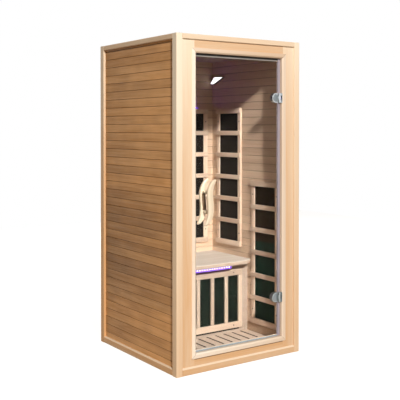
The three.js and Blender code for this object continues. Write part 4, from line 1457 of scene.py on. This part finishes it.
@dataclass
class Door(Assembly):
    """The pane with its edge seals, hinges and handles.

    cover holds a hinge cover's radius and its distance from the clamp's straight edge, as shares of
    the clamp's radius, and lip_shape where the seal's lip bends, as shares of its size.
    """

    half_width: float = 0.312
    low: float = 0.116
    high: float = 1.793
    faces: Pair = (-0.425, -0.417)
    gap: float = 0.0001
    hinge_parts: tuple[str, ...] = ("bracket", "clamp", "pin")
    hinge_ends: float = 0.235
    hinge_gap: float = 0.0145
    clamp_right: float = 0.292
    clamp_centre: float = 0.276
    clamp_radius: float = 0.029
    clamp_faces: Pair = (-0.4333, -0.4087)
    stud: Pair = (0.2695, 0.014)
    screw: Pair = (0.0042, 0.0015)
    cover: Pair = (0.8, 0.12)
    cover_heights: Triple = (-0.0002, 0.0006, 0.001)
    cover_shares: Triple = (1.0, 1.0, 0.97)
    hinge_seal: float = 0.016
    latch_seal: float = 0.004
    drip_seal: float = 0.004
    head_seal: float = 0.008
    head_lip: Pair = (0.007, 0.0009)
    highlight_lip_ease: float = 0.0003
    seal_wall: float = 0.001
    seal_lip: float = 0.0022
    lip_shape: Pair = (0.5, 0.45)

    def seal(self, width: float, length: float) -> Surface:
        """A clip-on seal: a U round the pane's edge with a soft lip outside it, carried straight.

        Args:
            width: How far the U reaches onto the pane.
            length: Length of the seal.

        Returns:
            The seal, with the pane's edge at zero and the pane on the minus side.
        """
        inner = (self.faces[1] - self.faces[0]) / 2 + self.gap
        outer = inner + self.seal_wall
        lip = self.seal_lip
        bend, flat = self.lip_shape
        half = [(lip, outer * flat), (lip * bend, outer)]
        half += [(-width, outer), (-width, inner), (self.gap, inner)]
        return carried(np.array([*half, *((u, -v) for u, v in half[::-1])]), length)

    def side_seals(self) -> Surface:
        """Seals on the two upright edges of the pane, the right one with gaps at the hinges.

        Returns:
            The four lengths of seal.
        """
        middle = sum(self.faces) / 2
        upper, lower = self.hinge_levels()
        gaps = [level + way * self.hinge_gap for level in (lower, upper) for way in (-1, 1)]
        stops = [self.low, *gaps, self.high]
        made = [
            self.seal(self.hinge_seal, end - start).placed(Z_AXES, (self.half_width, middle, start))
            for start, end in zip(stops[::2], stops[1::2])
        ]
        left = self.seal(self.latch_seal, self.high - self.low)
        return joined([*made, left.placed(HALF_TURN, (-self.half_width, middle, self.low))])

    def hinge_levels(self) -> Pair:
        """Heights of the upper and the lower hinge."""
        return self.high - self.hinge_ends, self.low + self.hinge_ends

    def hinge_screws(self) -> Surface:
        """Two screws on the inner plate of each hinge clamp.

        Returns:
            The four heads.
        """
        head = cross_screw(*self.screw)
        across, apart = self.stud
        spots = [level + offset for level in self.hinge_levels() for offset in (-apart, apart)]
        return joined([head.placed(Y_AXES, (across, self.clamp_faces[1], spot)) for spot in spots])

    def hinge_plates(self) -> Surface:
        """Half-round cover plates on the clamps: a straight edge and a half circle, eased.

        Returns:
            The two plates.
        """
        radius, inset = (self.clamp_radius * share for share in self.cover)
        arc = radius * rays(np.linspace(np.pi / 2, np.pi * 1.5, 25)) + (self.clamp_centre, 0.0)
        edge = self.clamp_right - inset
        outline = np.concatenate([[(edge, -radius), (edge, radius)], arc])
        cover = plate(outline, self.cover_heights, self.cover_shares)
        spots = [(0.0, self.clamp_faces[0], level) for level in self.hinge_levels()]
        return joined([cover.placed(MINUS_Y_AXES, spot) for spot in spots])

    def level_pieces(self) -> None:
        """Makes the seals over and under the pane, between the upright ones, and a flat grey strip
        under the head seal: a painted highlight of the pane's top edge.
        """
        left, right = self.latch_seal - self.half_width, self.half_width - self.hinge_seal
        middle = sum(self.faces) / 2
        over = self.seal(self.head_seal, right - left).placed(OVER_AXES, (right, middle, self.high))
        under = self.seal(self.drip_seal, right - left).placed(UNDER_AXES, (left, middle, self.low))
        tall, thick = self.head_lip
        top = self.high - self.head_seal
        face = self.faces[0] - self.gap
        # A grey strip under the head seal: painted highlight of the pane's top edge.
        lip = board((left, face - thick, top - tall), (right, face, top), 0, self.highlight_lip_ease)
        piece("door_head_seal", over, RUBBER, DOOR)
        piece("door_head_lip", lip, PANE_EDGE_HIGHLIGHT, DOOR)
        piece("door_drip_seal", under, DRIP_SEAL, DOOR)

    def build(self) -> None:
        """Makes the seals, hinge covers, screws and handles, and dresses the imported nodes."""
        self.dress(GLASS, "door_glass")
        self.dress(CHROME, "upper_handle_bolt", "lower_handle_bolt")
        # The lower hinge gets the darker copy of the chrome: painted shade.
        for hinge, metal in (("upper_hinge_", CHROME), ("lower_hinge_", SHADED_CHROME)):
            self.dress(metal, *(hinge + part for part in self.hinge_parts))
        piece("door_side_seals", self.side_seals(), SEAL, DOOR)
        self.level_pieces()
        piece("hinge_screws", self.hinge_screws(), CHROME, DOOR)
        piece("hinge_cover_plates", self.hinge_plates(), BRUSHED, DOOR)
        Handle("outer_handle", -1).build()
        Handle("inner_handle", 1).build()


@dataclass
class Lights(Assembly):
    """LED strips with their chips, and the lamp's diffuser.

    chip_share is the widest a chip may be and chip_lift its distance from the strip's middle, both
    as shares of the strip's size.
    """

    chip: float = 0.006
    chip_share: float = 0.6
    chip_lift: float = 0.14
    chip_rise: float = 0.0006
    chip_half: float = 0.0005
    chip_ease: float = 0.0004
    pitch: float = 0.019
    lamp_corners: tuple[Pair, ...] = ((0.0, 0.044), (0.112, 0.0), (0.146, 0.004), (0.098, 0.048))
    lamp_round: float = 0.006
    lamp_heights: Triple = (-0.002, 0.0, 0.0008)
    lamp_shares: Triple = (0.97, 0.97, 0.94)

    def chips(self, node: str, face: int) -> Surface:
        """A row of small square lenses along a strip.

        Args:
            node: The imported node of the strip.
            face: Axis that the lenses face: 1 for the strip's front, 2 for its top.

        Returns:
            The row.
        """
        low, high = corners(node)
        size = high - low
        count = int((size[0] - self.chip) / self.pitch)
        middle = (low + high) / 2
        middle[2] += size[2] * self.chip_lift
        middle[face] = low[1] - self.chip_rise if face == 1 else high[2] + self.chip_rise
        half = np.full(3, min(self.chip, size[3 - face] * self.chip_share) / 2)
        half[face] = self.chip_half
        places = (np.arange(count) - (count - 1) / 2) * self.pitch
        spots = [np.array([x, middle[1], middle[2]]) for x in places]
        return joined([board(spot - half, spot + half, face, self.chip_ease) for spot in spots])

    def diffuser(self) -> Surface:
        """The lamp's glowing face: its slanting outline with rounded corners, as a thin cap.

        Returns:
            The cap on the lamp's housing.
        """
        outline = softened(np.array(self.lamp_corners), self.lamp_round, 6)
        cap = plate(outline, self.lamp_heights, self.lamp_shares)
        return cap.placed(MINUS_X_AXES, corners("reading_lamp")[0])

    def build(self) -> None:
        """Makes the chips and the diffuser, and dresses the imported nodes."""
        strips = (("bench_led_strip", LED, CHIP, 1), ("back_led_strip", BACK_LED, WALL_CHIP, 2))
        for node, strip, chip, face in strips:
            self.dress(strip, node)
            piece(node + "_chips", self.chips(node, face), chip, CABIN)
        self.dress(LAMP_RIM, "reading_lamp")
        piece("reading_lamp_diffuser", self.diffuser(), LAMP, CABIN)


class Segment(Enum):
    """Bars of a seven-bar digit: where each starts and ends, in shares of width and height."""

    TOP = ((0, 1), (1, 1))
    UPPER_LEFT = ((0, 0.5), (0, 1))
    UPPER_RIGHT = ((1, 0.5), (1, 1))
    MIDDLE = ((0, 0.5), (1, 0.5))
    LOWER_LEFT = ((0, 0), (0, 0.5))
    LOWER_RIGHT = ((1, 0), (1, 0.5))
    BOTTOM = ((0, 0), (1, 0))


DIGITS: dict[str, tuple[Segment, ...]] = {
    "0": tuple(part for part in Segment if part is not Segment.MIDDLE),
    "3": (Segment.TOP, Segment.UPPER_RIGHT, Segment.MIDDLE, Segment.LOWER_RIGHT, Segment.BOTTOM),
    "5": (Segment.TOP, Segment.UPPER_LEFT, Segment.MIDDLE, Segment.LOWER_RIGHT, Segment.BOTTOM),
}


@dataclass
class Controls(Assembly):
    """Control panel on the left wall, its push buttons, and the power supply on the roof.

    readings holds the digits that are shown and where each number starts. arc is the radius and half
    the width of the power sign's arc, and stem half the width, the foot and the top of its bar. bulb
    is the radius, the rim's height and the upper radius of the light sign's disc, and beam the inner
    end, the outer end and half the width of its beams. arrow is half the width, the depth and the
    height of the other two signs. ribs holds the half length, width, height, first place and pitch
    of the lid's ribs, and nut the inner radius, half the width over its flats, foot, top and place
    of the cable gland's nut.
    """

    screen: Pair = (0.111, 0.057)
    screen_rise: float = 0.038
    screen_inset: Triple = (0.0, 0.0, 0.0005)
    screen_round: Triple = (0.0045, 0.0045, 0.004)
    screen_heights: Triple = (0.0001, 0.0006, 0.0009)
    recess: float = 0.0015
    readings: tuple[tuple[str, float], ...] = (("55", -0.046), ("30", 0.008))
    digit: Pair = (0.015, 0.03)
    digit_pitch: float = 0.0225
    digit_heights: Pair = (0.001, 0.0013)
    stroke: float = 0.0036
    stroke_gap: float = 0.00063
    small_ease: float = 0.0001
    sign: float = 0.0003
    arc: Pair = (0.0045, 0.0006)
    stem: Triple = (0.0006, 0.001, 0.0056)
    bulb: Triple = (0.0026, 0.00025, 0.0022)
    beam: Triple = (0.0038, 0.0058, 0.0005)
    arrow: Triple = (0.005, 0.003, 0.0045)
    sign_gap: float = 0.00002
    gland: float = 0.016
    rib_count: int = 6
    rib_ease: float = 0.0008
    ribs: tuple[float, ...] = (0.075, 0.005, 0.0024, 0.035, 0.015)
    lid_screw: Pair = (0.004, 0.0016)
    lid_corner: Pair = (0.098, 0.012)
    nut: tuple[float, ...] = (0.0092, 0.0125, 0.0003, 0.0075, 0.055)

    def screen_plate(self) -> Surface:
        """The display's plate: a rounded rectangle with an eased rim.

        Returns:
            The plate about its own third axis.
        """
        half = np.array(self.screen) / 2 - np.array(self.screen_inset)[:, None]
        rings = rounded_rings(half, np.array(self.screen_round), 6)
        return lifted(rings, np.array(self.screen_heights)[:, None])

    def digits(self, text: str, start: float) -> list[Surface]:
        """Seven-bar digits side by side.

        Args:
            text: The digits to show.
            start: Place of the first digit's left edge.

        Returns:
            One bar for each lit segment.
        """
        wide, tall = self.digit
        foot, top = self.digit_heights
        made = []
        for number, figure in enumerate(text):
            left = start + number * self.digit_pitch
            for segment in DIGITS[figure]:
                ends = np.array(segment.value) * (wide, tall) + (left, -tall / 2)
                along = 0 if segment.value[0][1] == segment.value[1][1] else 1
                reach = np.full(2, self.stroke / 2)
                reach[along] = -self.stroke_gap
                low, high = ends.min(0) - reach, ends.max(0) + reach
                made.append(board((*low, foot), (*high, top), along, self.small_ease))
        return made

    def symbol(self, button: str) -> Surface:
        """A generic sign on a push button.

        Args:
            button: Name of the button: power, light, up or down.

        Returns:
            The sign, flat on the button's own face.
        """
        if button == "power":
            radius, half = self.arc
            arc = self.band(rays(np.linspace(np.pi * 0.68, np.pi * 2.32, 25)) * radius, half)
            slim, foot, top = self.stem
            return joined([arc, board((-slim, foot, 0), (slim, top, self.sign), 1, self.small_ease)])
        if button == "light":
            *ends, half = self.beam
            beams = [self.band(np.outer(ends, way), half) for way in rays(np.arange(6) * np.pi / 3)]
            wide, rim, slim = self.bulb
            return joined([turned([(wide, 0), (wide, rim), (slim, self.sign)], 24), *beams])
        half, deep, tall = self.arrow
        arrow = np.array([(-half, -deep), (half, -deep), (0, tall)])
        return carried(arrow if button == "up" else (arrow * (1, -1))[::-1], self.sign)

    def band(self, path: np.ndarray, half: float) -> Surface:
        """A flat band: a small rectangle carried along a path in the plane.

        Args:
            path: Points of the middle line as (points, 2).
            half: Half width of the band.

        Returns:
            The band, with its foot at zero.
        """
        along = np.gradient(path, axis=0)
        along /= np.linalg.norm(along, axis=1, keepdims=True)
        left = np.stack([-along[:, 1], along[:, 0]], -1) * half
        flat = np.stack([path + left, path - left, path - left, path + left], 1)
        return lifted(flat, np.array([0, 0, self.sign, self.sign])).turned_over()

    def lid(self) -> Surface:
        """Cooling ribs and four screws on the power supply's lid.

        Returns:
            The ribs and the screw heads.
        """
        low, high = corners("power_box")
        top = high[2]
        half, wide, tall, first, pitch = self.ribs
        ribs = [
            board((-half, y, top), (half, y + wide, top + tall), 0, self.rib_ease)
            for y in low[1] + first + np.arange(self.rib_count) * pitch
        ]
        x, inset = self.lid_corner
        head = cross_screw(*self.lid_screw)
        spots = [(u, v) for u in (-x, x) for v in (low[1] + inset, high[1] - self.gland - inset)]
        return joined(ribs + [head.placed(Z_AXES, (u, v, top - self.small_ease)) for u, v in spots])

    def gland_nut(self) -> Surface:
        """A hexagon nut: radius flat / cos(a) about the nearest flat's middle, round inside.

        Returns:
            The nut on the power supply's rear.
        """
        low, high = corners("power_box")
        bore, flat, foot, top, across = self.nut
        angle = np.arange(48) * np.pi / 24
        hexagon = flat / np.cos((angle + np.pi / 6) % (np.pi / 3) - np.pi / 6)
        hole = np.full(len(angle), bore)
        rings = np.stack([hole, hexagon, hexagon, hole])[..., None] * rays(angle)
        nut = lifted(rings, np.array([[foot], [foot], [top], [top]]), closed=True)
        return nut.placed(Y_AXES, (across, high[1] - self.gland, (low[2] + high[2]) / 2))

    def build(self) -> None:
        """Makes the display, signs, ribs and nut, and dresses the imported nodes."""
        self.dress(BLACK, "control_panel", "power_box")
        low, high = corners("control_panel")
        _, y, z = (low + high) / 2
        display = (high[0] - self.recess, y, z + self.screen_rise)
        figures = joined([bar for text, start in self.readings for bar in self.digits(text, start)])
        screen, bars = (part.placed(PANEL_AXES, display) for part in (self.screen_plate(), figures))
        piece("display_screen", screen, SCREEN, CABIN)
        piece("display_digits", bars, DIGIT, CABIN)
        for button in ("power", "light", "up", "down"):
            self.dress(KEY, button + "_button")
            low, high = corners(button + "_button")
            _, y, z = (low + high) / 2
            sign = self.symbol(button).placed(PANEL_AXES, (high[0] + self.sign_gap, y, z))
            piece(button + "_sign", sign, SYMBOL, button + "_key")
        piece("power_box_ribs", self.lid(), BLACK, CABIN)
        piece("power_box_gland_nut", self.gland_nut(), KEY, CABIN)


# Stage


@dataclass(frozen=True)
class Lamp:
    """A round soft lamp: where it hangs, what it is aimed at, its width, power and colour."""

    name: str
    place: Triple
    target: Triple
    size: float
    power: float
    colour: Triple

    def build(self) -> None:
        """Hangs the lamp."""
        light = bpy.data.lights.new(self.name, "AREA")
        light.shape = "DISK"
        light.size = self.size
        light.energy = self.power
        light.color = self.colour
        made = linked(self.name, light)
        x, y, z = np.array(self.target) - np.array(self.place)
        made.location = self.place
        made.rotation_euler = (math.atan2(math.hypot(x, y), -z), 0.0, math.atan2(y, x) - math.pi / 2)


@dataclass
class Studio:
    """Floor, world, lamps and camera."""

    camera: Triple = (-2.741, -3.973, 1.377)
    yaw: float = 34.783
    pitch: float = 0.8
    lens: float = 69.012
    sensor: float = 36.0
    shift: float = -0.1534
    fill: float = 0.03
    floor_reach: float = 6.0
    floor_level: float = -0.0008
    floor_white: float = 0.93
    floor_pale: Triple = (0.32, 0.26, 0.19)
    floor_deep: Triple = (0.29, 0.23, 0.165)
    lamps: tuple[Lamp, ...] = (
        Lamp("key", (-5.13, -14.0, 8.86), (0.05, -0.2, 1.1), 1.0, 3000.0, (1.0, 0.965, 0.92)),
        Lamp("left", (-2.2, -1.0, 0.15), (-0.45, 0.0, 0.3), 0.5, 5.0, (1.0, 0.78, 0.45)),
        Lamp("back", (3.5, 4.5, 3.5), (0.2, 0.2, 0.9), 1.5, 250.0, (1.0, 0.97, 0.93)),
    )

    def floor(self) -> None:
        """A plain pale floor, white to the camera, which keeps the cabin's shadow."""
        sides = ((-1, -1), (1, -1), (1, 1), (-1, 1))
        points = [(x * self.floor_reach, y * self.floor_reach, self.floor_level) for x, y in sides]
        mesh = bpy.data.meshes.new("floor")
        mesh.from_pydata(points, [], [[0, 1, 2, 3]])
        painter = Painter("studio_floor")
        cloud = painter.noise(painter.place(), 0.7, 2.0)
        tint = painter.mix(cloud, self.floor_deep, self.floor_pale)
        painter.shade({"Base Color": tint, "Roughness": 0.9, "Specular IOR Level": 0.0})
        strength = self.seen_white(painter) * self.floor_white
        white = painter.wire("ShaderNodeEmission", {"Strength": strength})
        painter.show("ShaderNodeAddShader", Wire(painter, painter.shader.outputs[0]), white)
        mesh.materials.append(painter.material)
        linked("floor", mesh)

    def seen_white(self, weaver: Weaver) -> Wire:
        """A mask for camera, mirrored and refracted rays that have lit nothing on their way.

        Args:
            weaver: The nodes of the floor or the world.

        Returns:
            1 for such a ray, and 0 for others.
        """
        path = weaver.node("ShaderNodeLightPath").outputs
        names = ("Is Camera Ray", "Is Glossy Ray", "Is Transmission Ray", "Diffuse Depth")
        camera, mirrored, refracted, lit = (Wire(weaver, path[name]) for name in names)
        return camera.most(mirrored).most(refracted) * (lit < 0.5)

    def world(self) -> None:
        """A pale world that fills the shadows and is white where it is seen."""
        world = bpy.data.worlds.new("studio")
        world.use_nodes = True
        bpy.context.scene.world = world
        weaver = Weaver(world.node_tree)
        strength = self.seen_white(weaver).most(self.fill)
        weaver.feed(weaver.tree.nodes["Background"], {"Color": (1.0, 1.0, 1.0), "Strength": strength})

    def eye(self) -> None:
        """The camera, at the photograph's angle."""
        data = bpy.data.cameras.new("camera")
        data.lens = self.lens
        data.sensor_width = self.sensor
        data.shift_y = self.shift
        made = linked("camera", data)
        made.location = self.camera
        made.rotation_euler = (math.radians(90 - self.pitch), 0.0, math.radians(-self.yaw))
        bpy.context.scene.camera = made

    def build(self) -> None:
        """Sets up the stage."""
        self.eye()
        self.floor()
        self.world()
        for lamp in self.lamps:
            lamp.build()
        bpy.context.scene.view_settings.view_transform = "Standard"


def main() -> None:
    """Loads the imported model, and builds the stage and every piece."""
    logging.basicConfig(level=logging.INFO, format="%(name)s %(message)s")
    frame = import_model()
    Studio().build()
    for assembly in (Shell, Bench, Heaters, Door, Lights, Controls):
        assembly(frame["nodes"]).build()


if __name__ == "__main__":
    main()
